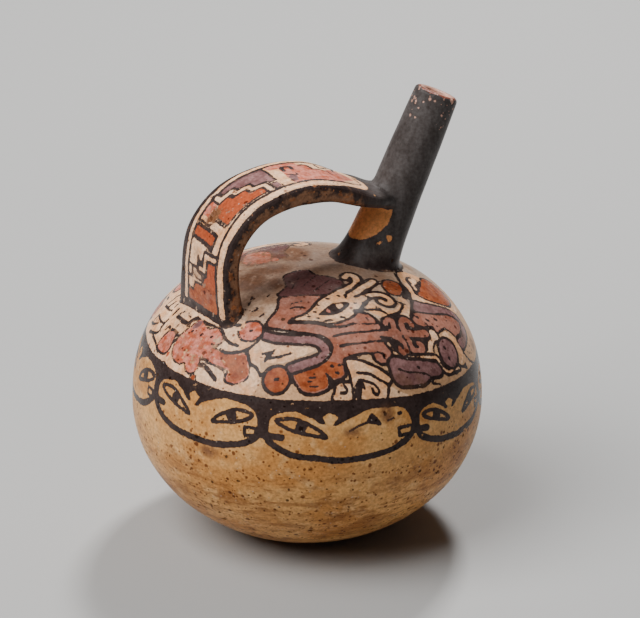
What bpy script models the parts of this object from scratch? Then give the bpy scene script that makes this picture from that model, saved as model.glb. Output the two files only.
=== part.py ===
"""A single-spout jug with a strap handle, in metres, +Z up.

The jug is one fired clay piece: a squat round body on a small flat foot, a spout that leans out
towards +X, and a flat strap handle that rises from the -X shoulder and bridges over to the spout.
It is hollow, and its chamber opens only through the bore of the spout. The origin is the centre of
the foot, and the handle and the spout both lie over the X axis.

The closed chamber is parted at the widest ring of the body, as a mould would part it, into a lower
half like a bowl and an upper half with the spout and the handle.
"""
import math

import bmesh
import bpy
from mathutils import Matrix, Vector

# Body: two half superellipses that meet at the belly. A fullness of 2 is a plain ellipse.
BELLY_RADIUS = 0.0725
BELLY_HEIGHT = 0.0555
CROWN_RISE = 0.0586
CROWN_FULLNESS = 2.39
UNDERSIDE_DROP = 0.0586
UNDERSIDE_FULLNESS = 2.02

# Gap between the lower and the upper half, at the height of the belly. A block this wide cuts away
# one half of the jug.
PARTING_GAP = 0.0003
HALF_SPACE_WIDTH = 3 * BELLY_RADIUS

# Chamber inside the body
WALL = 0.0048
FLOOR = 0.0055
CHAMBER_UNDERSIDE_FULLNESS = 2.35

# Spout: its axis runs from a point just under the crown to the middle of the lip
SPOUT_ROOT = Vector((0.0259, 0.0, 0.1050))
SPOUT_TIP = Vector((0.0607, 0.0, 0.1788))
SPOUT_FOOT_RADIUS = 0.0120
SPOUT_LIP_RADIUS = 0.0091
SPOUT_FLARE = 0.0060
SPOUT_FLARE_FADE = 0.0050
LIP_ROUNDING = 0.0016

# Bore of the spout: wide at its root, narrow at the mouth, with an eased rim
BORE_MOUTH_RADIUS = 0.0052
BORE_ROOT_RADIUS = 0.0076
BORE_ROOT_END_SHARE = 0.55
BORE_MOUTH_DEPTH = 0.0080
BORE_RIM_WIDTH = 0.0012
BORE_RIM_DEPTH = 0.0020
BORE_PAST_LIP = 0.0060
BORE_PAST_ROOT = 0.0120

# Handle: the middle of the strap passes through these (x, z) points, from shoulder to spout
STRAP_ROUTE = (
    (-0.0425, 0.0955),
    (-0.0446, 0.1140),
    (-0.0427, 0.1325),
    (-0.0315, 0.1458),
    (-0.0135, 0.1513),
    (0.0042, 0.1496),
    (0.0212, 0.1418),
    (0.0392, 0.1350),
)
STRAP_FOOT_WIDTH = 0.0380
STRAP_SPOUT_WIDTH = 0.0290
STRAP_THICKNESS = 0.0086
STRAP_EDGE_ROUNDING = 0.0034
STRAP_CROWN_SHARE = 0.06
STRAP_FOOT_FLARE = 0.0030
STRAP_FOOT_THICKENING = 1.6
STRAP_FOOT_FADE = 0.0075
STRAP_WRAP_WIDTH = 0.0205
STRAP_WRAP_LENGTH = 0.0150
STRAP_FOOT_TWIST = math.radians(4)

# How finely the round shapes are cut into facets
BODY_SIDES = 64
CROWN_STEPS = 16
UNDERSIDE_STEPS = 11
CHAMBER_SIDES = 40
CHAMBER_STEPS = 10
SPOUT_SIDES = 36
SPOUT_HEIGHT_SHARES = (0.80, 0.62, 0.46, 0.32, 0.22, 0.15, 0.10, 0.065, 0.03, 0.0)
LIP_STEPS = 3
BORE_SIDES = 24
STRAP_STATIONS = 40
STRAP_CORNER_STEPS = 3
SEAM_MERGE = 0.00001

SLIP_COLOUR = (0.62, 0.36, 0.20, 1.0)
SLIP_ROUGHNESS = 0.45


def clear_scene():
    for obj in list(bpy.data.objects):
        bpy.data.objects.remove(obj, do_unlink=True)


def new_collection(name):
    collection = bpy.data.collections.new(name)
    bpy.context.scene.collection.children.link(collection)
    return collection


def superellipse(radius, height, fullness, angle):
    """A point (r, z) of a quarter curve, from (radius, 0) at angle 0 to (0, height) at 90 degrees."""
    power = 2 / fullness
    r = radius * max(math.cos(angle), 0.0) ** power
    z = height * max(math.sin(angle), 0.0) ** power
    return r, z


def body_profile():
    """The outer side of the body, from its crown down to the middle of the flat foot."""
    foot_share = (BELLY_HEIGHT / UNDERSIDE_DROP) ** (UNDERSIDE_FULLNESS / 2)
    foot_angle = math.asin(foot_share)
    points = []
    for step in range(CROWN_STEPS):
        angle = math.radians(90) * (1 - step / CROWN_STEPS)
        r, z = superellipse(BELLY_RADIUS, CROWN_RISE, CROWN_FULLNESS, angle)
        points.append((r, BELLY_HEIGHT + z))
    for step in range(UNDERSIDE_STEPS + 1):
        angle = foot_angle * step / UNDERSIDE_STEPS
        r, z = superellipse(BELLY_RADIUS, UNDERSIDE_DROP, UNDERSIDE_FULLNESS, angle)
        points.append((r, BELLY_HEIGHT - z))
    points.append((0.0, 0.0))
    return points


def chamber_profile():
    """The inner side of the wall, from the top of the chamber down to the floor."""
    radius = BELLY_RADIUS - WALL
    points = []
    for step in range(CHAMBER_STEPS):
        angle = math.radians(90) * (1 - step / CHAMBER_STEPS)
        r, z = superellipse(radius, CROWN_RISE - WALL, CROWN_FULLNESS, angle)
        points.append((r, BELLY_HEIGHT + z))
    for step in range(CHAMBER_STEPS + 1):
        angle = math.radians(90) * step / CHAMBER_STEPS
        depth = BELLY_HEIGHT - FLOOR
        r, z = superellipse(radius, depth, CHAMBER_UNDERSIDE_FULLNESS, angle)
        points.append((r, BELLY_HEIGHT - z))
    return points


def spout_profile(length):
    """The outer side of the spout, from the lip down its axis to the flared root."""
    points = [(0.0, length)]
    for step in range(LIP_STEPS + 1):
        angle = math.radians(90) * (1 - step / LIP_STEPS)
        r = SPOUT_LIP_RADIUS - LIP_ROUNDING * (1 - math.cos(angle))
        points.append((r, length - LIP_ROUNDING * (1 - math.sin(angle))))
    for share in SPOUT_HEIGHT_SHARES:
        taper = SPOUT_FOOT_RADIUS + (SPOUT_LIP_RADIUS - SPOUT_FOOT_RADIUS) * share
        flare = SPOUT_FLARE * math.exp(-share * length / SPOUT_FLARE_FADE)
        points.append((taper + flare, share * length))
    points.append((0.0, 0.0))
    return points


def bore_profile(length):
    """The bore, from above the lip down to inside the chamber. It narrows towards the mouth."""
    rim_radius = BORE_MOUTH_RADIUS + BORE_RIM_WIDTH
    return [
        (0.0, length + BORE_PAST_LIP),
        (rim_radius, length + BORE_PAST_LIP),
        (rim_radius, length),
        (BORE_MOUTH_RADIUS, length - BORE_RIM_DEPTH),
        (BORE_MOUTH_RADIUS, length - BORE_MOUTH_DEPTH),
        (BORE_ROOT_RADIUS, length * BORE_ROOT_END_SHARE),
        (BORE_ROOT_RADIUS, -BORE_PAST_ROOT),
        (0.0, -BORE_PAST_ROOT),
    ]


def turned(name, profile, sides, collection):
    """A solid of revolution about its own Z axis, from a profile on the +X side."""
    mesh = bpy.data.meshes.new(name)
    edges = [(i, i + 1) for i in range(len(profile) - 1)]
    mesh.from_pydata([(r, 0.0, z) for r, z in profile], edges, [])
    obj = bpy.data.objects.new(name, mesh)
    collection.objects.link(obj)
    screw = obj.modifiers.new("Turn", "SCREW")
    screw.steps = sides
    screw.render_steps = sides
    screw.use_merge_vertices = True
    screw.merge_threshold = SEAM_MERGE
    screw.use_normal_calculate = False
    return obj


def lean_with_spout(obj):
    """Places a turned piece on the spout's axis."""
    obj.location = SPOUT_ROOT
    axis = (SPOUT_TIP - SPOUT_ROOT).normalized()
    obj.rotation_euler = (0.0, math.atan2(axis.x, axis.z), 0.0)


def strap_middle(share):
    """The middle of the strap as a smooth curve through the route, share 0 at the shoulder to 1."""
    last = len(STRAP_ROUTE) - 1
    index = min(int(share * last), last - 1)
    t = share * last - index
    knots = [Vector((x, 0.0, z)) for x, z in STRAP_ROUTE]
    a = knots[max(index - 1, 0)]
    b = knots[index]
    c = knots[index + 1]
    d = knots[min(index + 2, last)]
    slope_b = (c - a) / 2
    slope_c = (d - b) / 2
    return (
        b * (2 * t**3 - 3 * t**2 + 1)
        + slope_b * (t**3 - 2 * t**2 + t)
        + c * (3 * t**2 - 2 * t**3)
        + slope_c * (t**3 - t**2)
    )


def strap_section(width, thickness):
    """A closed outline (across, out) of the strap with rounded edges and a slightly crowned face."""
    crown = STRAP_CROWN_SHARE * thickness
    half_w = width / 2
    half_t = thickness / 2
    edge = min(STRAP_EDGE_ROUNDING, half_t)
    outline = []
    for side_a, side_o, start in ((1, -1, -90), (1, 1, 0), (-1, 1, 90), (-1, -1, 180)):
        for step in range(STRAP_CORNER_STEPS + 1):
            angle = math.radians(start + 90 * step / STRAP_CORNER_STEPS)
            across = side_a * (half_w - edge) + edge * math.cos(angle)
            out = side_o * (half_t - edge) + edge * math.sin(angle)
            outline.append((across, out))
        if side_o == 1 and side_a == 1:
            outline.append((0.0, half_t + crown))
    outline.append((0.0, -half_t))
    return outline


def smooth_step(value):
    value = min(max(value, 0.0), 1.0)
    return value * value * (3 - 2 * value)


def build_strap(collection):
    """The handle, lofted along its route through sections that narrow towards the spout."""
    rings = []
    middles = [strap_middle(i / STRAP_STATIONS) for i in range(STRAP_STATIONS + 1)]
    runs = [0.0]
    for before, after in zip(middles, middles[1:]):
        runs.append(runs[-1] + (after - before).length)
    for index, middle in enumerate(middles):
        before = middles[max(index - 1, 0)]
        after = middles[min(index + 1, STRAP_STATIONS)]
        along = (after - before).normalized()
        share = runs[index] / runs[-1]
        left = runs[-1] - runs[index]
        flare = STRAP_FOOT_FLARE * math.exp(-runs[index] / STRAP_FOOT_FADE)
        width = STRAP_FOOT_WIDTH + (STRAP_SPOUT_WIDTH - STRAP_FOOT_WIDTH) * share
        wrap = smooth_step(1 - left / STRAP_WRAP_LENGTH)
        width += (STRAP_WRAP_WIDTH - width) * wrap
        width += 2 * flare
        thickness = STRAP_THICKNESS + STRAP_FOOT_THICKENING * flare
        twist = STRAP_FOOT_TWIST * smooth_step(1 - 2 * share)
        across_way = Matrix.Rotation(twist, 3, along) @ Vector((0.0, 1.0, 0.0))
        out_way = along.cross(across_way)
        ring = [
            middle + across_way * across + out_way * out
            for across, out in strap_section(width, thickness)
        ]
        rings.append(ring)
    shape = bmesh.new()
    loops = [[shape.verts.new(point) for point in ring] for ring in rings]
    count = len(loops[0])
    for lower, upper in zip(loops, loops[1:]):
        for i in range(count):
            j = (i + 1) % count
            shape.faces.new((lower[i], lower[j], upper[j], upper[i]))
    shape.faces.new(list(reversed(loops[0])))
    shape.faces.new(loops[-1])
    bmesh.ops.recalc_face_normals(shape, faces=shape.faces)
    mesh = bpy.data.meshes.new("strap")
    shape.to_mesh(mesh)
    shape.free()
    obj = bpy.data.objects.new("strap", mesh)
    collection.objects.link(obj)
    return obj


def make_helper(obj):
    """A shape that is joined to the jug or cut out of it, and isn't a piece itself."""
    obj.hide_render = True
    obj.display_type = "WIRE"


def boolean(obj, other, operation):
    modifier = obj.modifiers.new(f"{operation.title()} {other.name}", "BOOLEAN")
    modifier.operation = operation
    modifier.object = other
    modifier.solver = "EXACT"


def slip_material():
    material = bpy.data.materials.new("painted clay")
    material.use_nodes = True
    shader = material.node_tree.nodes["Principled BSDF"]
    shader.inputs["Base Color"].default_value = SLIP_COLOUR
    shader.inputs["Roughness"].default_value = SLIP_ROUGHNESS
    shader.inputs["Metallic"].default_value = 0.0
    return material


def half_space(name, low, high, collection):
    """A block wider than the body between two heights, which cuts away one half of it."""
    width = HALF_SPACE_WIDTH
    shape = bmesh.new()
    bmesh.ops.create_cube(shape, size=1.0)
    bmesh.ops.scale(shape, verts=shape.verts, vec=(width, width, high - low))
    bmesh.ops.translate(shape, verts=shape.verts, vec=(0.0, 0.0, (low + high) / 2))
    mesh = bpy.data.meshes.new(name)
    shape.to_mesh(mesh)
    shape.free()
    obj = bpy.data.objects.new(name, mesh)
    collection.objects.link(obj)
    return obj


def build_jug():
    pieces = new_collection("single_spout_jug")
    helpers = new_collection("joined_and_cut_shapes")
    clay = slip_material()
    length = (SPOUT_TIP - SPOUT_ROOT).length
    over_the_lip = BELLY_HEIGHT + SPOUT_TIP.z

    lower = turned("jug_lower_half", body_profile(), BODY_SIDES, pieces)
    upper = turned("jug_upper_half", body_profile(), BODY_SIDES, pieces)
    spout = turned("spout", spout_profile(length), SPOUT_SIDES, helpers)
    lean_with_spout(spout)
    strap = build_strap(helpers)
    chamber = turned("chamber", chamber_profile(), CHAMBER_SIDES, helpers)
    bore = turned("bore", bore_profile(length), BORE_SIDES, helpers)
    lean_with_spout(bore)
    lower_edge = BELLY_HEIGHT - PARTING_GAP / 2
    upper_edge = BELLY_HEIGHT + PARTING_GAP / 2
    above = half_space("above_the_parting", lower_edge, over_the_lip, helpers)
    below = half_space("below_the_parting", -BELLY_HEIGHT, upper_edge, helpers)

    for helper in (spout, strap, chamber, bore, above, below):
        make_helper(helper)
    boolean(lower, chamber, "DIFFERENCE")
    boolean(lower, above, "DIFFERENCE")
    boolean(upper, spout, "UNION")
    boolean(upper, strap, "UNION")
    boolean(upper, chamber, "DIFFERENCE")
    boolean(upper, bore, "DIFFERENCE")
    boolean(upper, below, "DIFFERENCE")
    for half in (lower, upper):
        half.data.materials.append(clay)


clear_scene()
build_jug()
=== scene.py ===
"""A slip-painted single-spout jug with a strap handle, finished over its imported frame."""
import math
from functools import partial

import bmesh
import bpy
import numpy as np
from mathutils import Matrix, Vector, noise
from mathutils.kdtree import KDTree


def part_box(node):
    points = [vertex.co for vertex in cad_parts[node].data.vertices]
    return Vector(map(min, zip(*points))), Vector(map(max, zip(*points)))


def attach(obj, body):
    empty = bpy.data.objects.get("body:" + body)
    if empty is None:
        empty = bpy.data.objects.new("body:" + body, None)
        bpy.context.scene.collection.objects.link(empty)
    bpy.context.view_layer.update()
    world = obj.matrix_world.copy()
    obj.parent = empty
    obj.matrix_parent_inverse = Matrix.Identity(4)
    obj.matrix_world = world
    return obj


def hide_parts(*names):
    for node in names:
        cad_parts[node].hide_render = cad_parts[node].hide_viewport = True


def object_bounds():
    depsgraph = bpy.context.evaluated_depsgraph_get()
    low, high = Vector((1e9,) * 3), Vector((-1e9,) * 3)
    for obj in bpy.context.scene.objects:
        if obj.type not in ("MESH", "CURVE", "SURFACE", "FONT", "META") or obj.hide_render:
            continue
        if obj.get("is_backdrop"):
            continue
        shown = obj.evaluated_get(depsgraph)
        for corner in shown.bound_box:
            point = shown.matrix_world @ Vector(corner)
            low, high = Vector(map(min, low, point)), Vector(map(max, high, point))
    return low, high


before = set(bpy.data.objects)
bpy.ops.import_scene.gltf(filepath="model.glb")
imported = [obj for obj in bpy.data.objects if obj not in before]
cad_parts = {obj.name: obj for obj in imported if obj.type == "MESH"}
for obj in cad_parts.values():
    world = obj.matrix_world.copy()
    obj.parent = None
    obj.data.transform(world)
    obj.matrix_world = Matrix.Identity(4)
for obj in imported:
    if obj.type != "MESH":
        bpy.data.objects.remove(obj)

cad_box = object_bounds()


# ---------------------------------------------------------------------------
# The body. A hollow ball of fired clay, coiled and scraped by hand, a little squat, on a small
# flat foot. Its wall follows one rule, so a node tree bends a flat ringed sheet into the outer
# side, and the same tree with smaller sizes and a coarser sheet gives the chamber inside.
# ---------------------------------------------------------------------------
MM = 0.001
BELLY_RADIUS = (cad_box[1].y - cad_box[0].y) / 2
BELLY_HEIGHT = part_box("jug_lower_half")[1].z
CROWN_RISE = 0.0586
CROWN_FULLNESS = 2.39
UNDERSIDE_DROP = 0.0586
UNDERSIDE_FULLNESS = 2.02
WALL = 0.0048
FLOOR = 0.0055
CHAMBER_UNDERSIDE_FULLNESS = 2.35
SEAM_MERGE = 0.00001

# Which piece a point of the joined jug came from
BODY, STRAP, SPOUT, INSIDE = 1, 2, 3, 4


def add_node(tree, kind, links=None, **settings):
    """One node. Its links map an input to a socket or to a plain value."""
    node = tree.nodes.new(kind)
    for name, value in settings.items():
        setattr(node, name, value)
    for name, value in (links or {}).items():
        if isinstance(value, bpy.types.NodeSocket):
            tree.links.new(value, node.inputs[name])
        else:
            node.inputs[name].default_value = value
    return node


def math_node(tree, operation, *values):
    """One Math node. Its inputs are sockets or plain numbers, and its output is returned."""
    return add_node(tree, "ShaderNodeMath", dict(enumerate(values)), operation=operation).outputs[0]


def vector_node(tree, operation, links):
    return add_node(tree, "ShaderNodeVectorMath", links, operation=operation).outputs["Vector"]


def group_tree(name, kind, inputs, outputs):
    """An empty node group, with what it is given and what it gives back."""
    tree = bpy.data.node_groups.new(name, kind)
    for way, sockets in (("INPUT", inputs), ("OUTPUT", outputs)):
        for socket, socket_kind in sockets.items():
            tree.interface.new_socket(socket, in_out=way, socket_type="NodeSocket" + socket_kind)
    return tree, tree.nodes.new("NodeGroupInput"), tree.nodes.new("NodeGroupOutput")


def pot_wall_tree():
    """A tree that bends a flat round sheet, 2 units in radius, into a closed pot wall: the crown is
    the middle of the sheet, the belly is 1 unit out, and the sheet's rim closes the underside."""
    measures = ("Belly Radius", "Belly Height", "Crown Rise", "Crown Fullness",
                "Underside Drop", "Underside Fullness", "Foot Height")
    inputs = {"Sheet": "Geometry", **dict.fromkeys(measures, "Float"), "Clay": "Material"}
    tree, start, end = group_tree("pot wall", "GeometryNodeTree", inputs, {"Wall": "Geometry"})
    given = start.outputs
    position = add_node(tree, "GeometryNodeInputPosition").outputs[0]
    length = add_node(tree, "ShaderNodeVectorMath", {0: position}, operation="LENGTH")
    way_out = vector_node(tree, "NORMALIZE", {0: position})
    share = math_node(tree, "MINIMUM", length.outputs["Value"], 2.0)
    angle = math_node(tree, "MULTIPLY", math_node(tree, "SUBTRACT", 1.0, share), math.pi / 2)
    below = math_node(tree, "GREATER_THAN", share, 1.0)

    def by_side(upper, lower):
        """The upper value on the crown side of the belly, and the lower one on the underside."""
        return math_node(tree, "MULTIPLY_ADD", math_node(tree, "SUBTRACT", lower, upper), below,
                         upper)

    fullness = by_side(given["Crown Fullness"], given["Underside Fullness"])
    drop = math_node(tree, "MULTIPLY", given["Underside Drop"], -1.0)
    rise = by_side(given["Crown Rise"], drop)
    power = math_node(tree, "DIVIDE", 2.0, fullness)
    across = math_node(tree, "MAXIMUM", math_node(tree, "COSINE", angle), 0.0)
    upward = math_node(tree, "ABSOLUTE", math_node(tree, "SINE", angle))
    radius = math_node(tree, "POWER", across, power)
    radius = math_node(tree, "MULTIPLY", radius, given["Belly Radius"])
    height = math_node(tree, "MULTIPLY", math_node(tree, "POWER", upward, power), rise)
    height = math_node(tree, "ADD", height, given["Belly Height"])
    height = math_node(tree, "MAXIMUM", height, given["Foot Height"])
    spread = vector_node(tree, "SCALE", {0: way_out, "Scale": radius})
    lift = add_node(tree, "ShaderNodeCombineXYZ", {"Z": height}).outputs[0]
    place = vector_node(tree, "ADD", {0: spread, 1: lift})

    chain = (
        start,
        add_node(tree, "GeometryNodeSetPosition", {"Position": place}),
        add_node(tree, "GeometryNodeMergeByDistance", {"Distance": SEAM_MERGE}),
        add_node(tree, "GeometryNodeSetShadeSmooth"),
        add_node(tree, "GeometryNodeRealizeInstances"),
        add_node(tree, "GeometryNodeSetMaterial", {"Material": given["Clay"]}),
        end,
    )
    for before, after in zip(chain, chain[1:]):
        tree.links.new(before.outputs[0], after.inputs[0])
    return tree


def add_object(name, data):
    obj = bpy.data.objects.new(name, data)
    bpy.context.scene.collection.objects.link(obj)
    return obj


def zip_rings(inner, outer):
    """Triangles between two rings of points that need not have the same count."""
    faces = []
    i = j = 0
    while i < len(inner) or j < len(outer):
        if i == len(inner) or (j < len(outer) and (j + 1) * len(inner) <= (i + 1) * len(outer)):
            faces.append((inner[i % len(inner)], outer[j], outer[(j + 1) % len(outer)]))
            j += 1
        else:
            faces.append((inner[i], outer[j % len(outer)], inner[(i + 1) % len(inner)]))
            i += 1
    return faces


def ringed_sheet(name, shares, sides):
    """A flat round sheet: a middle point and a ring at each share, with about as many points as the
    wall needs there. sides(share) is that count."""
    points = [(0.0, 0.0, 0.0)]
    rings = []
    for share in shares:
        count = sides(share)
        rings.append(range(len(points), len(points) + count))
        for i in range(count):
            turn = 2 * math.pi * i / count
            points.append((share * math.cos(turn), share * math.sin(turn), 0.0))
    faces = [(0, rings[0][i], rings[0][(i + 1) % len(rings[0])]) for i in range(len(rings[0]))]
    for inner, outer in zip(rings, rings[1:]):
        faces.extend(zip_rings(inner, outer))
    mesh = bpy.data.meshes.new(name)
    mesh.from_pydata(points, [], faces)
    return add_object(name, mesh)


def apply_modifiers(obj):
    depsgraph = bpy.context.evaluated_depsgraph_get()
    mesh = bpy.data.meshes.new_from_object(obj.evaluated_get(depsgraph))
    obj.modifiers.clear()
    obj.data = mesh


def throw_pot(obj, **sizes):
    """Bends the sheet into a pot wall, and leaves a plain mesh."""
    modifier = obj.modifiers.new("pot wall", "NODES")
    modifier.node_group = pot_wall
    given = {"Clay": clay, "Crown Fullness": CROWN_FULLNESS, "Belly Height": BELLY_HEIGHT}
    given.update((name.replace("_", " ").title(), size) for name, size in sizes.items())
    for item in pot_wall.interface.items_tree:
        if item.in_out == "INPUT" and item.name in given:
            modifier[item.identifier] = given[item.name]
    apply_modifiers(obj)
    return obj


def mark(mesh, piece, along, across):
    """Notes which piece each point belongs to, and its place on that piece in millimetres."""
    count = len(mesh.vertices)
    whole = mesh.attributes.new("piece", "FLOAT", "POINT")
    whole.data.foreach_set("value", np.full(count, piece, np.float32))
    place = np.zeros((count, 3), np.float32)
    place[:, 0] = along
    place[:, 1] = across
    layer = mesh.attributes.new("place", "FLOAT_VECTOR", "POINT")
    layer.data.foreach_set("vector", place.ravel())


def read_values(items, name, width, kind=np.float32):
    """One property of all the items, a row each."""
    values = np.empty(width * len(items), kind)
    items.foreach_get(name, values)
    return values.reshape(-1, width)


FINE_ROWS = 126
FINE_SIDES = 536
UNDERSIDE_ROWS = 56
COARSER_BELOW = 1.05
COARSER_WITHIN = 0.05
COARSENESS = 1.9
LEAST_SIDES = 12


def body_sides(share):
    """Enough points for an even spacing round the ring, fewer once the painted part is passed."""
    angle = (1 - share) * math.pi / 2
    fullness = CROWN_FULLNESS if share < 1 else UNDERSIDE_FULLNESS
    radius_share = max(math.cos(angle), 0.0) ** (2 / fullness)
    ease = min(max((share - COARSER_BELOW) / COARSER_WITHIN, 0.0), 1.0)
    return max(LEAST_SIDES, round(FINE_SIDES * radius_share / (1 + (COARSENESS - 1) * ease)))


def wall_shares(crown_rows, underside_rows):
    """The rings' places on the sheet. The crown's are eased towards the belly, where the rule would
    otherwise space them widely."""
    crown = [1 - (1 - row / crown_rows) ** (CROWN_FULLNESS / 2) for row in range(1, crown_rows + 1)]
    return crown + [1 + row / underside_rows for row in range(1, underside_rows + 1)]


clay = bpy.data.materials.new("slip_painted_clay")
pot_wall = pot_wall_tree()
jug = throw_pot(
    ringed_sheet("painted_jug", wall_shares(FINE_ROWS, UNDERSIDE_ROWS), body_sides),
    belly_radius=BELLY_RADIUS, crown_rise=CROWN_RISE, underside_drop=UNDERSIDE_DROP,
    underside_fullness=UNDERSIDE_FULLNESS, foot_height=0.0,
)

# The wall's section, read where the rings begin, gives the distance over the surface from the
# crown. The painter's plan of the body is laid out by that distance and the bearing.
ON_PLANE = 1e-7
points = read_values(jug.data.vertices, "co", 3).astype(float)
radii = np.hypot(points[:, 0], points[:, 1])
on_section = (np.abs(points[:, 1]) < ON_PLANE) & (points[:, 0] > -ON_PLANE)
section = np.stack([radii[on_section], points[on_section, 2]], 1)
section_bearing = np.arctan2(BELLY_HEIGHT - section[:, 1], section[:, 0])
section = section[np.argsort(section_bearing)]
section_bearing = np.sort(section_bearing)
section_run = np.r_[0, np.cumsum(np.hypot(*np.diff(section, axis=0).T))] / MM


def run_from_crown(radius, height):
    """Distance over the surface from the crown to a ring of the body, in millimetres."""
    return np.interp(np.arctan2(BELLY_HEIGHT - height, radius), section_bearing, section_run)


def place_on_body(points):
    """The plan of points on the body: as far from the middle as they are from the crown."""
    radius = np.hypot(points[:, 0], points[:, 1])
    run = run_from_crown(radius, points[:, 2])
    turn = np.arctan2(points[:, 1], points[:, 0])
    return run * np.cos(turn), run * np.sin(turn)


mark(jug.data, BODY, *place_on_body(points))

CHAMBER_ROWS = 24
CHAMBER_SIDES = 72
chamber = throw_pot(
    ringed_sheet("chamber", wall_shares(CHAMBER_ROWS, CHAMBER_ROWS), lambda share: CHAMBER_SIDES),
    belly_radius=BELLY_RADIUS - WALL, crown_rise=CROWN_RISE - WALL,
    underside_drop=BELLY_HEIGHT - FLOOR, underside_fullness=CHAMBER_UNDERSIDE_FULLNESS,
    foot_height=FLOOR,
)
mark(chamber.data, INSIDE, 0, 0)


# ---------------------------------------------------------------------------
# The spout. A tapering clay tube, rolled round a stick, stuck over a hole in the shoulder and
# smeared on to it with wet clay, so that its foot flares. Its lip is rounded, and it is covered
# with grey-black slip but for the lip.
# ---------------------------------------------------------------------------
SPOUT_ROOT = Vector((0.0259, 0.0, 0.1050))
SPOUT_TIP = Vector((0.0607, 0.0, 0.1788))
SPOUT_FOOT_RADIUS = 0.0120
SPOUT_LIP_RADIUS = 0.0091
SPOUT_FLARE = 0.0060
SPOUT_FLARE_FADE = 0.0050
LIP_ROUNDING = 0.0016
BORE_MOUTH_RADIUS = 0.0052
BORE_ROOT_RADIUS = 0.0076
BORE_WIDE_SHARE = 0.55
BORE_NARROW_SHARES = (0.75, 0.9)
BORE_PAST_ROOT = 0.012
BORE_PAST_LIP = 0.006
MOUTH_EASING = 0.0011
LIP_STEPS = 4
MOUTH_STEPS = 5
SPOUT_ROWS = 96
SPOUT_SIDES = 84
BORE_SIDES = 48

spout_length = (SPOUT_TIP - SPOUT_ROOT).length
spout_axis = (SPOUT_TIP - SPOUT_ROOT) / spout_length
spout_side = Vector((0.0, 1.0, 0.0))
spout_front = spout_side.cross(spout_axis)


def skin(shape, rings):
    """Four-sided faces between each ring of points and the next."""
    for lower, upper in zip(rings, rings[1:]):
        for i in range(len(lower)):
            j = (i + 1) % len(lower)
            shape.faces.new((lower[i], lower[j], upper[j], upper[i]))


def finish_solid(name, shape):
    bmesh.ops.recalc_face_normals(shape, faces=shape.faces)
    mesh = bpy.data.meshes.new(name)
    shape.to_mesh(mesh)
    shape.free()
    return add_object(name, mesh)


def tube(name, profile, sides, piece):
    """A closed solid turned about the spout's axis from a list of (radius, height along it)."""
    shape = bmesh.new()
    rings = []
    for radius, height in profile:
        middle = SPOUT_ROOT + spout_axis * height
        ring = []
        for i in range(sides):
            turn = 2 * math.pi * i / sides
            way = spout_front * math.cos(turn) + spout_side * math.sin(turn)
            ring.append(shape.verts.new(middle + way * radius))
        rings.append(ring)
    skin(shape, rings)
    for ring in (rings[0], rings[-1]):
        middle = sum((vertex.co for vertex in ring), Vector()) / sides
        hub = shape.verts.new(middle)
        for i in range(sides):
            shape.faces.new((ring[i], ring[(i + 1) % sides], hub))
    obj = finish_solid(name, shape)
    mark(obj.data, piece, *place_on_spout(read_values(obj.data.vertices, "co", 3).astype(float)))
    return obj


def place_on_spout(points):
    """Height along the spout in millimetres, and the turn about it in degrees, 0 on its far side
    from the handle and -90 on the side that faces -Y."""
    offset = points - np.array(SPOUT_ROOT)
    along = offset @ np.array(spout_axis)
    turn = np.arctan2(offset @ np.array(spout_side), offset @ np.array(spout_front))
    return along / MM, np.degrees(turn)


def quarter_turn(steps, first=0):
    """The angles of a rounded corner."""
    return [math.radians(90) * step / steps for step in range(first, steps + 1)]


def spout_profile():
    """The outer side, from inside the shoulder up to the rounded lip."""
    profile = []
    for row in range(SPOUT_ROWS + 1):
        height = (spout_length - LIP_ROUNDING) * row / SPOUT_ROWS
        taper = SPOUT_FOOT_RADIUS + (SPOUT_LIP_RADIUS - SPOUT_FOOT_RADIUS) * height / spout_length
        profile.append((taper + SPOUT_FLARE * math.exp(-height / SPOUT_FLARE_FADE), height))
    for angle in quarter_turn(LIP_STEPS, 1):
        radius = SPOUT_LIP_RADIUS - LIP_ROUNDING * (1 - math.cos(angle))
        profile.append((radius, spout_length - LIP_ROUNDING * (1 - math.sin(angle))))
    profile.append((BORE_MOUTH_RADIUS + 2 * MOUTH_EASING, spout_length))
    profile.append((BORE_MOUTH_RADIUS / 2, spout_length))
    return profile


def bore_profile():
    """The bore, from inside the chamber up through the mouth, whose edge is eased."""
    profile = [(BORE_ROOT_RADIUS, -BORE_PAST_ROOT),
               (BORE_ROOT_RADIUS, spout_length * BORE_WIDE_SHARE)]
    profile += [(BORE_MOUTH_RADIUS, spout_length * share) for share in BORE_NARROW_SHARES]
    for angle in quarter_turn(MOUTH_STEPS):
        radius = BORE_MOUTH_RADIUS + MOUTH_EASING * (1 - math.cos(angle))
        profile.append((radius, spout_length - MOUTH_EASING * (1 - math.sin(angle))))
    profile.append((BORE_MOUTH_RADIUS + MOUTH_EASING, spout_length + BORE_PAST_LIP))
    return profile


spout = tube("spout", spout_profile(), SPOUT_SIDES, SPOUT)
bore = tube("bore", bore_profile(), BORE_SIDES, INSIDE)


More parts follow.
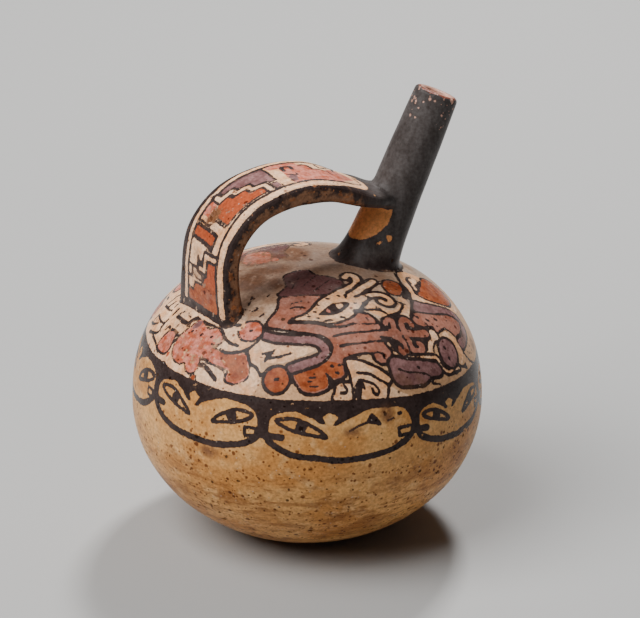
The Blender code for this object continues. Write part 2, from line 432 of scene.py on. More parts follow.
# ---------------------------------------------------------------------------
# The strap handle. A flat slab of clay with rounded edges, bent in an arch from the shoulder to
# the spout. Both ends are luted on with wet clay: the foot flares a little, and the other end
# wraps round the spout and fades into it.
# ---------------------------------------------------------------------------
STRAP_ROUTE = (
    (-0.0425, 0.0955),
    (-0.0446, 0.1140),
    (-0.0427, 0.1325),
    (-0.0315, 0.1458),
    (-0.0135, 0.1513),
    (0.0042, 0.1496),
    (0.0212, 0.1418),
    (0.0392, 0.1350),
)
STRAP_FOOT_WIDTH = 0.0380
STRAP_SPOUT_WIDTH = 0.0290
STRAP_THICKNESS = 0.0086
STRAP_EDGE_ROUNDING = 0.0034
STRAP_EDGE_STEPS = 5
STRAP_CROWN_SHARE = 0.06
STRAP_FOOT_FLARE = 0.0030
STRAP_FOOT_THICKENING = 1.6
STRAP_FOOT_FADE = 0.0075
STRAP_WRAP_WIDTH = 0.0190
STRAP_WRAP_LENGTH = 0.0150
STRAP_FOOT_TWIST = math.radians(4)
# How much thinner the strap is, by its distance from the shoulder
STRAP_THINNING = ((0.0, 0.0), (0.060, 0.0), (0.082, -0.0007), (0.100, 0.0007), (0.116, 0.0027),
                  (0.140, 0.0030))
STRAP_STATIONS = 156
STRAP_FACE_CELLS = 36
STRAP_BACK_CELLS = 16


def smooth_step(value):
    value = min(max(value, 0.0), 1.0)
    return value * value * (3 - 2 * value)


def strap_middle(share):
    """The middle of the strap as a smooth curve through its route, share 0 at the shoulder to 1."""
    last = len(STRAP_ROUTE) - 1
    at = min(share, 0.999999) * last
    index = int(at)
    t = at - index
    knots = [Vector((x, 0.0, z)) for x, z in STRAP_ROUTE]
    a = knots[max(index - 1, 0)]
    b = knots[index]
    c = knots[index + 1]
    d = knots[min(index + 2, last)]
    slope_b = (c - a) / 2
    slope_c = (d - b) / 2
    return (
        b * (2 * t**3 - 3 * t**2 + 1)
        + slope_b * (t**3 - 2 * t**2 + t)
        + c * (3 * t**2 - 2 * t**3)
        + slope_c * (t**3 - t**2)
    )


strap_middles = [strap_middle(i / STRAP_STATIONS) for i in range(STRAP_STATIONS + 1)]
strap_runs = [0.0]
for before, after in zip(strap_middles, strap_middles[1:]):
    strap_runs.append(strap_runs[-1] + (after - before).length)
strap_length = strap_runs[-1]


def strap_thinning(run):
    """How much was scraped off the underside of the strap."""
    return float(np.interp(run, *zip(*STRAP_THINNING)))


def strap_size(run):
    """Width and thickness of the strap at a distance from its shoulder end."""
    share = run / strap_length
    flare = STRAP_FOOT_FLARE * math.exp(-run / STRAP_FOOT_FADE)
    width = STRAP_FOOT_WIDTH + (STRAP_SPOUT_WIDTH - STRAP_FOOT_WIDTH) * share
    wrap = smooth_step(1 - (strap_length - run) / STRAP_WRAP_LENGTH)
    width += (STRAP_WRAP_WIDTH - width) * wrap
    thickness = STRAP_THICKNESS + STRAP_FOOT_THICKENING * flare
    return width + 2 * flare, thickness - strap_thinning(run)


def strap_frame(index):
    """The middle of a station, and its ways across the strap and out of its outer face."""
    before = strap_middles[max(index - 1, 0)]
    after = strap_middles[min(index + 1, STRAP_STATIONS)]
    along = (after - before).normalized()
    twist = STRAP_FOOT_TWIST * smooth_step(1 - 2 * strap_runs[index] / strap_length)
    across = Matrix.Rotation(twist, 3, along) @ Vector((0.0, 1.0, 0.0))
    return strap_middles[index], across, along.cross(across)


def strap_outline(width, thickness):
    """A closed outline (across, out, distance round it from the middle of the outer face)."""
    edge = min(STRAP_EDGE_ROUNDING, thickness / 2)
    flat = width / 2 - edge
    crown = STRAP_CROWN_SHARE * thickness
    corner = edge * math.pi / 2
    side = thickness - 2 * edge
    outline = []
    for i in range(STRAP_FACE_CELLS + 1):
        across = flat * (2 * i / STRAP_FACE_CELLS - 1)
        lift = crown * (1 - (across / flat) ** 2)
        outline.append((across, thickness / 2 + lift, across))
    angles = quarter_turn(STRAP_EDGE_STEPS, 1)
    rounds = [(edge * math.sin(angle), thickness / 2 - edge * (1 - math.cos(angle)), edge * angle)
              for angle in angles]
    rounds += [(edge * math.cos(angle), -thickness / 2 + edge * (1 - math.sin(angle)),
                corner + side + edge * angle) for angle in angles]
    outline.extend((flat + over, out, flat + run) for over, out, run in rounds)
    for i in range(1, STRAP_BACK_CELLS):
        across = flat * (1 - 2 * i / STRAP_BACK_CELLS)
        round_it = flat + 2 * corner + side + (flat - abs(across))
        outline.append((across, -thickness / 2, math.copysign(round_it, across)))
    outline.extend((-flat - over, out, -flat - run) for over, out, run in reversed(rounds))
    return outline


def bend_strap():
    """The strap, lofted along its route through sections that narrow towards the spout."""
    shape = bmesh.new()
    rings = []
    places = []
    for index in range(STRAP_STATIONS + 1):
        middle, across_way, out_way = strap_frame(index)
        middle = middle + out_way * strap_thinning(strap_runs[index]) / 2
        ring = []
        for across, out, round_it in strap_outline(*strap_size(strap_runs[index])):
            ring.append(shape.verts.new(middle + across_way * across + out_way * out))
            places.append((strap_runs[index] / MM, round_it / MM))
        rings.append(ring)
    skin(shape, rings)
    shape.faces.new(rings[0])
    shape.faces.new(rings[-1][::-1])
    obj = finish_solid("strap", shape)
    mark(obj.data, STRAP, *np.array(places).T)
    return obj


strap = bend_strap()


# ---------------------------------------------------------------------------
# One piece of clay. The spout and the strap are luted to the body over the hollow chamber, and the
# joins are smeared smooth with a wet finger. The surface keeps the slight lumps of a pot built by
# hand, with a few chips where the edges were knocked.
# ---------------------------------------------------------------------------
JOIN_CREASE = math.radians(20)
SAME_POINT = 0.001
BODY_SMEAR = 3.0
STRAP_SMEAR = 8.0
STRAP_JOIN_HEIGHT = 0.125
SMEAR_ROUNDS = 24
SMEAR_PULL = 0.6
LUMPS = ((40.0, 0.35), (12.0, 0.12))
FLAT_FOOT = 0.0006
UNTOUCHED = 9.0
CHIP_SPREAD = 1.6
CHIP_GRAIN = 1.1
CHIP_EDGE_SHARE = 0.85
CHIP_RAGGEDNESS = 0.5
CHIP_SLOPE_SHARE = 0.5
CHIP_ROUNDING = 0.6


def join(obj, other, operation):
    modifier = obj.modifiers.new(operation.title(), "BOOLEAN")
    modifier.operation = operation
    modifier.object = other
    modifier.solver = "MANIFOLD"


join(jug, spout, "UNION")
join(jug, strap, "UNION")
join(jug, chamber, "DIFFERENCE")
join(jug, bore, "DIFFERENCE")
apply_modifiers(jug)
for helper in (spout, strap, chamber, bore):
    bpy.data.objects.remove(helper)

shape = bmesh.new()
shape.from_mesh(jug.data)
bmesh.ops.triangulate(shape, faces=shape.faces)
bmesh.ops.dissolve_degenerate(shape, edges=shape.edges, dist=SAME_POINT * MM)
bmesh.ops.triangulate(shape, faces=shape.faces)
shape.normal_update()
piece_layer = shape.verts.layers.float["piece"]
join_points = []
for edge in shape.edges:
    if edge.calc_face_angle_signed(0.0) < -JOIN_CREASE:
        around = [vertex for face in edge.link_faces for vertex in face.verts]
        if max(vertex[piece_layer] for vertex in around) < INSIDE:
            join_points.append((edge.verts[0].co + edge.verts[1].co) / 2)
shape.to_mesh(jug.data)
shape.free()
joins = KDTree(len(join_points))
for index, point in enumerate(join_points):
    joins.insert(point, index)
joins.balance()

points = read_values(jug.data.vertices, "co", 3).astype(float)
piece = read_values(jug.data.attributes["piece"].data, "value", 1)[:, 0]
place = read_values(jug.data.attributes["place"].data, "vector", 3)[:, :2].astype(float)
edges = read_values(jug.data.edges, "vertices", 2, np.int32)


def neighbour_sum(values):
    """For each point, the sum of a value over the points that share an edge with it."""
    total = np.bincount(edges[:, 0], values[edges[:, 1]], len(points))
    return total + np.bincount(edges[:, 1], values[edges[:, 0]], len(points))


def smear_share(point):
    """How far the finger reached: 1 on a join, 0 where the clay was left alone."""
    nearest, _, distance = joins.find(point)
    reach = STRAP_SMEAR if nearest.z > STRAP_JOIN_HEIGHT else BODY_SMEAR
    return smooth_step(1.0 - distance / (reach * MM))


def reshape():
    """Moves the mesh's points to where they have been worked out to be."""
    jug.data.vertices.foreach_set("co", points.ravel())
    jug.data.update()


degree = neighbour_sum(np.ones(len(points)))
smear = np.array([smear_share(point) for point in points])
smear[piece == INSIDE] = 0.0
for _ in range(SMEAR_ROUNDS):
    middle = np.stack([neighbour_sum(points[:, axis]) for axis in range(3)], 1) / degree[:, None]
    points += SMEAR_PULL * smear[:, None] * (middle - points)
reshape()

normals = read_values(jug.data.vertices, "normal", 3)
lump = np.zeros(len(points))
for length, height in LUMPS:
    scaled = [Vector(point) / (length * MM) for point in points]
    lump += height * MM * np.array([noise.noise(point) for point in scaled])
lump[(piece == INSIDE) | (points[:, 2] < FLAT_FOOT)] = 0.0
points += normals * lump[:, None]


def on_strap(run, across):
    """A point on the strap's outer face, from its place there in millimetres."""
    index = int(np.searchsorted(strap_runs, run * MM))
    middle, across_way, out_way = strap_frame(index)
    half = (strap_size(strap_runs[index])[1] + strap_thinning(strap_runs[index])) / 2
    return middle + across_way * across * MM + out_way * half


def on_spout(along, turn, radius):
    """A point beside the spout's axis, from its height along it in millimetres and its turn."""
    angle = math.radians(turn)
    way = spout_front * math.cos(angle) + spout_side * math.sin(angle)
    return SPOUT_ROOT + spout_axis * along * MM + way * radius * MM


# Each chip: its place, its reach and its depth in millimetres
CHIPS = (
    (on_strap(46, 2), 3.6, 0.9),
    (on_strap(43.5, 3.5), 1.8, 0.7),
    (on_strap(55, -16.8), 1.6, 0.35),
    (on_strap(82, -15.4), 1.4, 0.3),
    (on_strap(22, 17.6), 1.7, 0.4),
    (on_strap(97, 14.6), 1.5, 0.35),
    (on_spout(80.6, -70, 8.4), 1.7, 0.4),
    (on_spout(81.0, 130, 8.2), 1.5, 0.35),
    (on_spout(80.8, 20, 8.4), 1.2, 0.3),
)
chipped = np.full(len(points), UNTOUCHED)
for middle, reach, depth in CHIPS:
    distance = np.linalg.norm(points - np.array(middle), axis=1) / MM
    near = np.flatnonzero((distance < CHIP_SPREAD * reach) & (piece != INSIDE))
    ragged = [noise.noise(Vector(point) / (CHIP_GRAIN * MM)) for point in points[near]]
    edge = distance[near] - reach * (CHIP_EDGE_SHARE + CHIP_RAGGEDNESS * np.array(ragged))
    chipped[near] = np.minimum(chipped[near], edge)
    slope = np.clip(-edge / (CHIP_SLOPE_SHARE * reach), 0.0, 1.0)
    points[near] -= normals[near] * (depth * slope ** CHIP_ROUNDING * MM)[:, None]
points[:, 2] = np.maximum(points[:, 2], 0.0)
reshape()


# ---------------------------------------------------------------------------
# The slips. Creams, reds and blacks are liquid clays, brushed on in flat areas and then outlined in
# black by a quick hand. For each slip the mesh keeps how far a point is outside the painted area in
# millimetres, negative inside it, and the material turns that into an edge as crisp as a brush's.
# ---------------------------------------------------------------------------
FAR = 9.0
REACH = 3.5
OVERLAP = 0.3
CURVE_STEPS = 6
OVAL_SIDES = 32
DOT_SHARE = 0.3
TREMORS = ((9.0, 0.45), (3.0, 0.16))
TREMOR_SEED = 7
SLIPS = ("cream", "pink", "orange", "red", "maroon", "black")
GROUNDS = ("buff", "bare", "stain_and_shade")
paint = {name: np.full(len(points), FAR) for name in SLIPS + GROUNDS}
rubbed = np.zeros(len(points))

# How far the painter's hand strayed at each point, along and across the flat panel
noise.seed_set(TREMOR_SEED)
tremor = np.zeros((len(points), 2))
for length, throw in TREMORS:
    shifts = [noise.noise_vector(Vector(point) / (length * MM)) for point in points]
    tremor += throw * np.array(shifts)[:, :2]


def eased(*corners, closed=False):
    """A line through the given points with round bends."""
    corners = np.array(corners, float)
    if closed:
        before, after, beyond = (np.roll(corners, -step, 0) for step in (-1, 1, 2))
        spans = zip(before, corners, after, beyond)
    else:
        ends = np.vstack([2 * corners[0] - corners[1], corners, 2 * corners[-1] - corners[-2]])
        spans = zip(ends, ends[1:], ends[2:], ends[3:])
    line = []
    for a, b, c, d in spans:
        for t in np.arange(CURVE_STEPS) / CURVE_STEPS:
            line.append(b + 0.5 * t * (c - a + t * (2*a - 5*b + 4*c - d + t * (3*b - a - 3*c + d))))
    line.append(line[0] if closed else corners[-1])
    return np.array(line)


def oval(x, y, across, along):
    """A closed outline round a middle, from its two half sizes."""
    turn = np.linspace(0, 2 * math.pi, OVAL_SIDES + 1)
    return np.stack([x + across * np.cos(turn), y + along * np.sin(turn)], 1)


class Panel:
    """A stretch of the jug's surface laid flat in millimetres, ready to be painted."""

    def __init__(self, chosen, flat):
        self.chosen = np.flatnonzero(chosen)
        self.flat = flat[self.chosen] + tremor[self.chosen]

    def around(self, line, reach):
        near = (self.flat > line.min(0) - reach) & (self.flat < line.max(0) + reach)
        return np.flatnonzero(near.all(1))

    def off_line(self, line, reach):
        """The points near a line, and their distance from it."""
        line = np.array(line, float)
        near = self.around(line, reach)
        flat = self.flat[near]
        distance = np.full(len(near), FAR)
        for start, end in zip(line, line[1:]):
            run = end - start
            share = np.clip((flat - start) @ run / max(run @ run, 1e-9), 0, 1)
            distance = np.minimum(distance, np.hypot(*(flat - start - share[:, None] * run).T))
        return near, distance

    def off_area(self, line):
        """The points near a closed line, and their distance from its inside."""
        near, distance = self.off_line(line, REACH)
        x, y = self.flat[near].T
        inside = np.zeros(len(near), bool)
        for (ax, ay), (bx, by) in zip(line, line[1:]):
            crosses = (ay > y) != (by > y)
            if ay != by:
                inside ^= crosses & (x < ax + (bx - ax) * (y - ay) / (by - ay))
        return near, np.where(inside, -distance, distance)

    def wipe(self, near, distance):
        """Leaves no slip on an area."""
        rows = self.chosen[near]
        for slip in SLIPS:
            paint[slip][rows] = np.maximum(paint[slip][rows], -distance)

    def lay(self, slip, near, distance):
        """Brushes one slip over whatever is there."""
        rows = self.chosen[near]
        before = paint[slip][rows]
        self.wipe(near, distance + OVERLAP)
        paint[slip][rows] = np.minimum(before, distance)

    def stain_and_shade_patch(self, *middle_and_size):
        """A brown patch on clay and slips: mostly stains, under the strap painted shade."""
        near, distance = self.off_area(oval(*middle_and_size))
        rows = self.chosen[near]
        paint["stain_and_shade"][rows] = np.minimum(paint["stain_and_shade"][rows], distance)

    def ink(self, near, distance):
        rows = self.chosen[near]
        paint["black"][rows] = np.minimum(paint["black"][rows], distance)

    def area(self, slip, line, edge=0.0):
        """A filled area with a black outline of the given width."""
        near, distance = self.off_area(line)
        self.lay(slip, near, distance)
        if edge:
            self.ink(near, abs(distance) - edge / 2)

    def band(self, slip, lines, width, edge=0.0):
        """Broad strokes that run together, with one black outline round them all."""
        found = [self.off_line(line, width / 2 + REACH) for line in lines]
        for near, distance in found:
            if edge:
                self.lay("black", near, distance - width / 2 - edge)
        for near, distance in found:
            self.lay(slip, near, distance - width / 2)

    def stroke(self, width, *corners, straight=False):
        """One black brush stroke through the points."""
        line = corners if straight else eased(*corners)
        near, distance = self.off_line(line, REACH)
        self.ink(near, distance - width / 2)

    def strokes(self, *rows, straight=False):
        """Brush strokes, each given as its width and its points."""
        for width, *corners in rows:
            self.stroke(width, *corners, straight=straight)

    def dots(self, size, *places):
        half = DOT_SHARE * size
        for x, y in places:
            self.stroke(size, (x - half, y), (x + half, y + 0.1), straight=True)

    def disc(self, slip, x, y, across, along, edge=1.7, eye=1.5):
        """A round spot with a black ring and a black dot in its middle."""
        self.area(slip, oval(x, y, across, along), edge)
        if eye:
            self.dots(eye, (x, y))


smooth = partial(eased, closed=True)


# ---------------------------------------------------------------------------
# The creature on the shoulder. It is a head in profile with a dark cap, a big cream eye with
# curling lashes, red bands that branch into hooks behind it, and dotted round lobes under it. The
# same creature, more simply drawn and mirrored, fills the far side.
# ---------------------------------------------------------------------------
CREST_RUB = 0.4
CREST_RUB_WITHIN = 72.0


def paint_head(panel, plain):
    """The head in profile. Plain leaves out the small strokes and dots."""
    red = smooth(
        (-10.5, -27), (-12.8, -36), (-16.8, -43.8), (-10, -47), (1.5, -49.6), (8.3, -51.6),
        (10.6, -56), (7.4, -61), (-1, -64.6), (-7.3, -66), (-6.3, -69.6), (-2.2, -75), (4, -76),
        (9.4, -73.8), (10.8, -70.5), (14, -69), (17.2, -66.2), (16.4, -60.4), (21.5, -57),
        (28, -55), (29.4, -57.2), (33, -58.2), (36.8, -55.6), (37, -51), (33.4, -47.6), (35, -43),
        (30.6, -38.6), (26.2, -35), (21, -34), (12, -28), (1, -26.5))
    panel.area("red", red, 1.5)
    near, distance = panel.off_area(red)
    panel.lay("orange", near, np.maximum(distance + 0.9, panel.flat[near, 1] + 61.5))
    arm = eased(
        (-18.6, -48), (-12, -50.9), (-5, -52.1), (1, -52.3), (5.5, -53.8), (8, -57), (6, -60.3),
        (1, -62.6), (-7, -65))
    panel.band("maroon", [arm], 3.7, 1.2)
    panel.area("cream", smooth(
        (-20, -51.5), (-12, -54.6), (-1.5, -55.6), (3.4, -56.6), (-1, -59.4), (-8, -61.8),
        (-13, -62), (-19.5, -60)))
    panel.area("maroon", smooth(
        (-12, -25.5), (-8.6, -19.8), (-9.6, -12.4), (-6.5, -8.2), (0, -5.8), (3.1, -9.7),
        (9, -11.6), (14.6, -15), (12, -22), (8.4, -25.8), (0, -26.8), (-9, -27.4)), 0.9)
    panel.area("cream", smooth(
        (24, -29), (27.6, -26.6), (31, -28.8), (35.6, -29), (38.4, -24), (37.6, -18.4), (41, -17.8),
        (43.4, -22), (43, -29), (37, -31.4), (31, -34.4), (26.4, -33.4)))
    panel.area("cream", smooth(
        (-7, -42.3), (-0.3, -38), (4, -31), (9, -25.6), (14, -20.6), (20, -20.6), (24.4, -23.6),
        (24.6, -28), (21.4, -34), (17.6, -39.6), (10, -43.8), (2, -43)), 1.5)
    curl = eased((14.4, -22.6), (18.4, -18.2), (20.2, -14.4), (19.6, -10), (17, -9), (15.6, -11.4))
    lash = eased((18, -25.4), (21.6, -20), (24.6, -15.4), (27, -11.6))
    branch = eased(
        (22.4, -26), (26, -22.6), (30, -20.9), (33.6, -21.6), (34.9, -24), (33, -25.9),
        (30.4, -25.2))
    panel.band("cream", [curl], 3.2, 1.3)
    panel.band("cream", [branch], 2.7, 1.4)
    panel.band("cream", [lash], 3.5, 1.3)
    panel.band("cream", [
        [(12.6, -25), (15.4, -21.8)], [(17, -29), (20, -23)], [(19, -30), (23.4, -25)]], 3.6)
    panel.strokes(
        (1.5, (16.2, -23.2), (18.4, -20.2), (21, -15.4), (22.8, -11.4)),
        (1.4, (19.6, -25.3), (22, -23), (24.6, -20.8)),
        (1.5, (17.7, -10.8), (17.3, -13.2)),
        (1.3, (24, -32.6), (28, -31.5), (30.8, -31.2), (32.8, -31.9)),
        (1.0, (28.6, -29.6), (30.4, -30.4)),
        (1.5, (39.4, -21.6), (39.9, -25), (38.6, -28.4), (36.2, -31.2), (33, -34), (30.6, -36.6)),
        (1.2, (38.2, -22.2), (41, -21.8)),
        (1.6, (25.6, -26), (23.4, -30), (22, -33.8)),
    )
    panel.area("black", smooth(
        (4.6, -39.2), (6.4, -36.4), (8.8, -33), (12, -30.6), (17.2, -29.6), (16.4, -33.2),
        (13.6, -37), (10, -39)))
    panel.area("pink", [(8.5, -33.6), (10.8, -37.6), (7.4, -37.4), (8.5, -33.6)])
    panel.area("cream", [(11.2, -31.6), (15, -30.4), (14.8, -33.6), (12.7, -35.2), (11.2, -31.6)])
    panel.stroke(1.5, (-7.4, -43.4), (3, -43.9), (9.4, -45.2), (15, -44.4), (19.6, -42))
    if plain:
        return
    panel.dots(1.3, (12.9, -26.3), (8.6, -29), (4.2, -33), (3, -37.4), (0.6, -40.2), (4.5, -41.2),
               (14.8, -39.2), (19.8, -29.6), (24.7, -24), (19.9, -33.8), (19.3, -34.9))
    panel.strokes(
        (1.2, (7.8, -42.2), (10.4, -41.6)),
        (1.0, (-6.6, -32.8), (-4.6, -32)),
        (1.0, (-3.6, -31.6), (-2, -31)),
        (1.1, (-6.6, -35.4), (-4, -34.6), (-1.2, -35)),
    )
    panel.area("pink", smooth((-6, -37.6), (-3.6, -36.4), (-1.8, -36.7), (-3.8, -38.1)))
    for start, end in (((-6, -22), (-3, -12)), ((-1.5, -20), (3, -12)), ((3, -23.5), (9, -14.5))):
        panel.stroke(0.7, start, end)
    panel.strokes(
        (1.2, (-20.6, -57), (-17, -57.3), (-13.4, -56.4)),
        (1.4, (-14, -56.6), (-16.9, -59), (-18, -60.4)),
        (1.2, (-16.8, -59.6), (-12.3, -59.4), (-6.5, -58.6)),
        (1.0, (21, -42), (25.4, -40.6), (29.4, -39)),
        (0.8, (21.6, -38.8), (24.2, -37.2), (25.4, -38.4)),
    )


def paint_bands(panel, plain):
    """The lines that part the red bands, and the lobes and hooks that they end in."""
    panel.strokes(
        (1.3, (10.8, -49.8), (16, -48), (22, -45.9), (27.6, -43.6), (34, -40.8)),
        (1.6, (14.4, -53.9), (17, -53)),
        (1.3, (15, -53.8), (20, -52), (26, -49.8), (33, -47), (38.6, -44.6)),
        (1.3, (26.6, -35), (29.6, -38.4), (33, -40.6)),
        (1.1, (27.6, -55), (30.6, -53.5), (33.4, -53.6), (33.8, -55)),
    )
    panel.area("black", smooth((8.2, -66.4), (9, -69.5), (10.6, -73.4), (13, -70.4)))
    panel.disc("orange", -13.5, -69, 6.0, 5.9, 1.6)
    if not plain:
        panel.strokes(
            (0.9, (1, -69), (3.6, -68.8)),
            (0.9, (0.4, -70.6), (2, -70.4)),
            (0.9, (1.2, -72.9), (4.6, -72.6)),
        )
        panel.dots(1.3, (10.9, -63.6), (14, -62.6), (13.2, -66))
    panel.area("cream", smooth(
        (16.2, -60.4), (20, -59), (26, -59.5), (32, -60.1), (37.6, -61.4), (38.9, -62.8),
        (38, -65.6), (38.3, -70), (37, -78), (14, -78), (12.6, -73.6), (14, -70), (17.6, -69),
        (19.4, -67.4)), 1.5)
    panel.strokes(
        (1.4, (22.4, -64.4), (28, -63.9), (34, -64.7), (38.4, -65)),
        (1.3, (22.6, -76), (22.7, -70), (23.4, -67.4), (27, -67), (31, -67.4), (33.6, -69.2),
         (33, -71.2), (31, -70.9)),
        (2.4, (24, -68.4), (24.6, -72), (24.4, -75)),
        (1.5, (25.6, -68.2), (26.6, -70)),
        (1.4, (16.4, -70.6), (18.2, -71.8), (17.6, -73.6), (15.6, -73.8)),
        (1.3, (19.4, -67.6), (20.7, -71), (21.8, -76)),
        (1.2, (30.2, -69.2), (31.6, -71.4)),
    )


def paint_fret(panel, plain):
    """The angular hooks behind the bands, in the same red, each curling back on itself."""
    panel.area("cream", smooth(
        (52, -30.6), (55.2, -28.2), (58.8, -30.6), (57, -34), (56.6, -38), (57.6, -41), (53.6, -43),
        (50.6, -40)), 1.2)
    panel.area("black", [
        (30.6, -37.4), (33, -33.6), (36.4, -31.2), (38.4, -29.6), (42, -28.8), (45.6, -30),
        (47.4, -31.4), (50.4, -29.8), (53, -30.6), (54.6, -33.8), (53.2, -37.2), (54.4, -41),
        (52.6, -44.6), (48.8, -47.6), (46, -50), (41, -51), (37.6, -50), (35, -46.6), (31, -46.6),
        (30.6, -37.4)])
    panel.band("red", [
        [(30, -43.6), (35, -42.1), (40, -39.8), (45, -37.5), (49.4, -34.7), (51.4, -33.2)]], 4.1)
    for width, *corners in (
            (2.8, (38, -41), (36.6, -37.6), (35.5, -35.2), (33.6, -35.4), (32.9, -37.6)),
            (3.2, (41.4, -38.4), (39.9, -35), (40.2, -32.4), (42.4, -31.5), (44.6, -32.8)),
            (3.3, (42.6, -40.2), (45.4, -43.8), (48, -45.1), (50.9, -43.2), (50.8, -40.9),
             (48.9, -40.5)),
            (2.9, (37, -43.2), (41, -43.5), (43.7, -45.7), (43.4, -48.2), (41.2, -48.6),
             (40.6, -47))):
        panel.band("red", [eased(*corners)], width)
    panel.strokes(
        (1.0, (36.8, -32.6), (37.8, -35.6), (39.8, -38.9)),
        (1.1, (41, -34), (42.8, -35.5), (45, -35.4), (47.6, -33.4), (50.2, -31)),
        (1.1, (51.6, -37.2), (49, -38.8), (46.4, -40.3), (46.9, -42.2), (48.4, -42.8)),
        (1.1, (41, -40.8), (43.4, -43.4), (45.6, -46.6)),
        (0.9, (38, -45), (40.2, -45.4), (41.6, -46.8)),
    )
    panel.band("cream", [[(34.4, -46.8), (37.4, -49.6), (40.4, -52)]], 0.7)
    panel.band("cream", [eased(
        (45.4, -49.6), (50, -47.2), (55, -43.9), (59.6, -41.2), (63.4, -42.9), (68, -41.8),
        (71.2, -37.6), (74, -34))], 1.6, 1.2)
    lobe = smooth(
        (36, -57), (37.4, -53), (42, -51.4), (47, -49.6), (52, -47), (57, -44.2), (60.4, -42.8),
        (63.8, -44), (64.4, -46.4), (62, -49.4), (58.8, -52.4), (57.2, -55.4), (55, -57.8),
        (51, -60.6), (48, -62.2), (44, -63.8), (40, -62.8))
    panel.area("maroon", lobe, 1.6)
    panel.stroke(0.9, (41, -57.2), (46, -56.6), (50.4, -54.2), (55, -52.2), (59, -51.4))
    panel.stain_and_shade_patch(44.5, -60.4, 5.0, 2.0)
    panel.stain_and_shade_patch(53, -56.4, 3.0, 1.6)
    panel.area("cream", smooth(
        (38, -65.8), (43, -65.8), (50, -65), (46, -67), (42, -68.9), (38.8, -70.4)))
    panel.stroke(1.3, (60, -53.6), (64.8, -50.9))
    panel.disc("maroon", 65.3, -33.2, 6.8, 7.1, 1.5, 0)
    panel.strokes(
        (1.5, (64.4, -44.6), (68.4, -43.1), (71.6, -39.6), (73, -38.2)),
        (1.7, (71.4, -34.6), (75, -31.6), (79, -27.6)),
        (1.0, (76.4, -31), (77.6, -26.8)),
    )
    if not plain:
        panel.dots(1.4, (50.8, -51.7), (54.3, -58), (62.4, -33), (66.2, -35.8))


def paint_tail(panel, plain):
    """The red and maroon bands that sweep down behind the creature, under the spout."""
    panel.area("cream", smooth(
        (38.2, 6), (38.4, 0), (41, -6), (44.8, -16), (50, -14), (55, -10.4), (62, -4), (67, -1),
        (68, 6), (60, 10), (46, 9)))
    panel.area("orange", smooth(
        (47, -9.8), (51, -10.4), (55.4, -8), (60, -4), (63.4, 0), (64.4, 6), (62, 12), (54, 14),
        (48.6, 10), (48, 2), (47.6, -3)), 1.1)
    panel.area("red", [
        (45, -23), (52, -20), (58, -14.6), (63, -9), (69.6, -5.4), (71, -9), (70.4, -15), (68, -21),
        (64.6, -20.8), (61, -21.6), (59.4, -25), (57.6, -28.4), (55.8, -28.6), (54.6, -26.8),
        (52.8, -27.8), (50.4, -30.2), (47, -31.2), (45, -30), (45, -23)], 1.2)
    panel.area("maroon", smooth(
        (44.8, -16.6), (49, -14.8), (54.5, -11.2), (60, -6.4), (64, -3), (67, -1.8), (71, -1.8),
        (74, -4), (75.6, -9), (75.4, -15), (74.2, -22), (69, -21.8), (70.6, -16), (70.8, -10),
        (69.4, -5.4), (65, -7.6), (61, -11.4), (57, -15.8), (53, -19.4), (49, -21.8), (45, -23.6)),
        1.2)
    panel.strokes(
        (1.6, (44.4, -17), (41, -9.4), (38, -3), (37, 3), (39.6, 7.8)),
        (1.5, (43.2, 3.4), (41.8, 1.4), (42.2, -2.2), (44.8, -6.6), (46.2, -10.2)),
        (1.2, (46.4, 4), (47, 0), (46, -3), (47.6, -6)),
        (1.2, (42, -0.6), (44, -2.4)),
        (1.5, (43, -11), (43.9, -19), (44, -24), (44.4, -29.6)),
        (1.2, (74.4, -23.2), (78, -22.2), (81.5, -20.2), (84, -17.4)),
    )
    panel.area("cream", smooth(
        (59.8, -28.4), (61.8, -22.6), (64.4, -23.6), (66.6, -21.6), (69, -23.4), (74.2, -24.2),
        (75, -31), (72.4, -28.2), (69.6, -25.8), (64, -25), (61.2, -27)))
    panel.area("black", smooth((39.8, -7.4), (42.8, -9.4), (42.8, -15.8), (39.8, -18)))
    panel.disc("orange", 35.6, -12.1, 4.7, 5.9, 1.3, 0)
    if not plain:
        panel.dots(1.4, (47, -26.6), (51.8, -24.8), (55.9, -20.8))
        panel.dots(1.0, (51, -27.4), (56.8, -24.6), (61.8, -15.6), (77.9, -12.8), (80, -15.4),
                   (78.6, -17.4), (77.3, -18.8), (80.4, -12.6))
        panel.stain_and_shade_patch(81, -6, 1.8, 2.4)
        panel.stain_and_shade_patch(35.7, -12, 0.9, 0.9)
        panel.stain_and_shade_patch(73, -14, 1.6, 5)


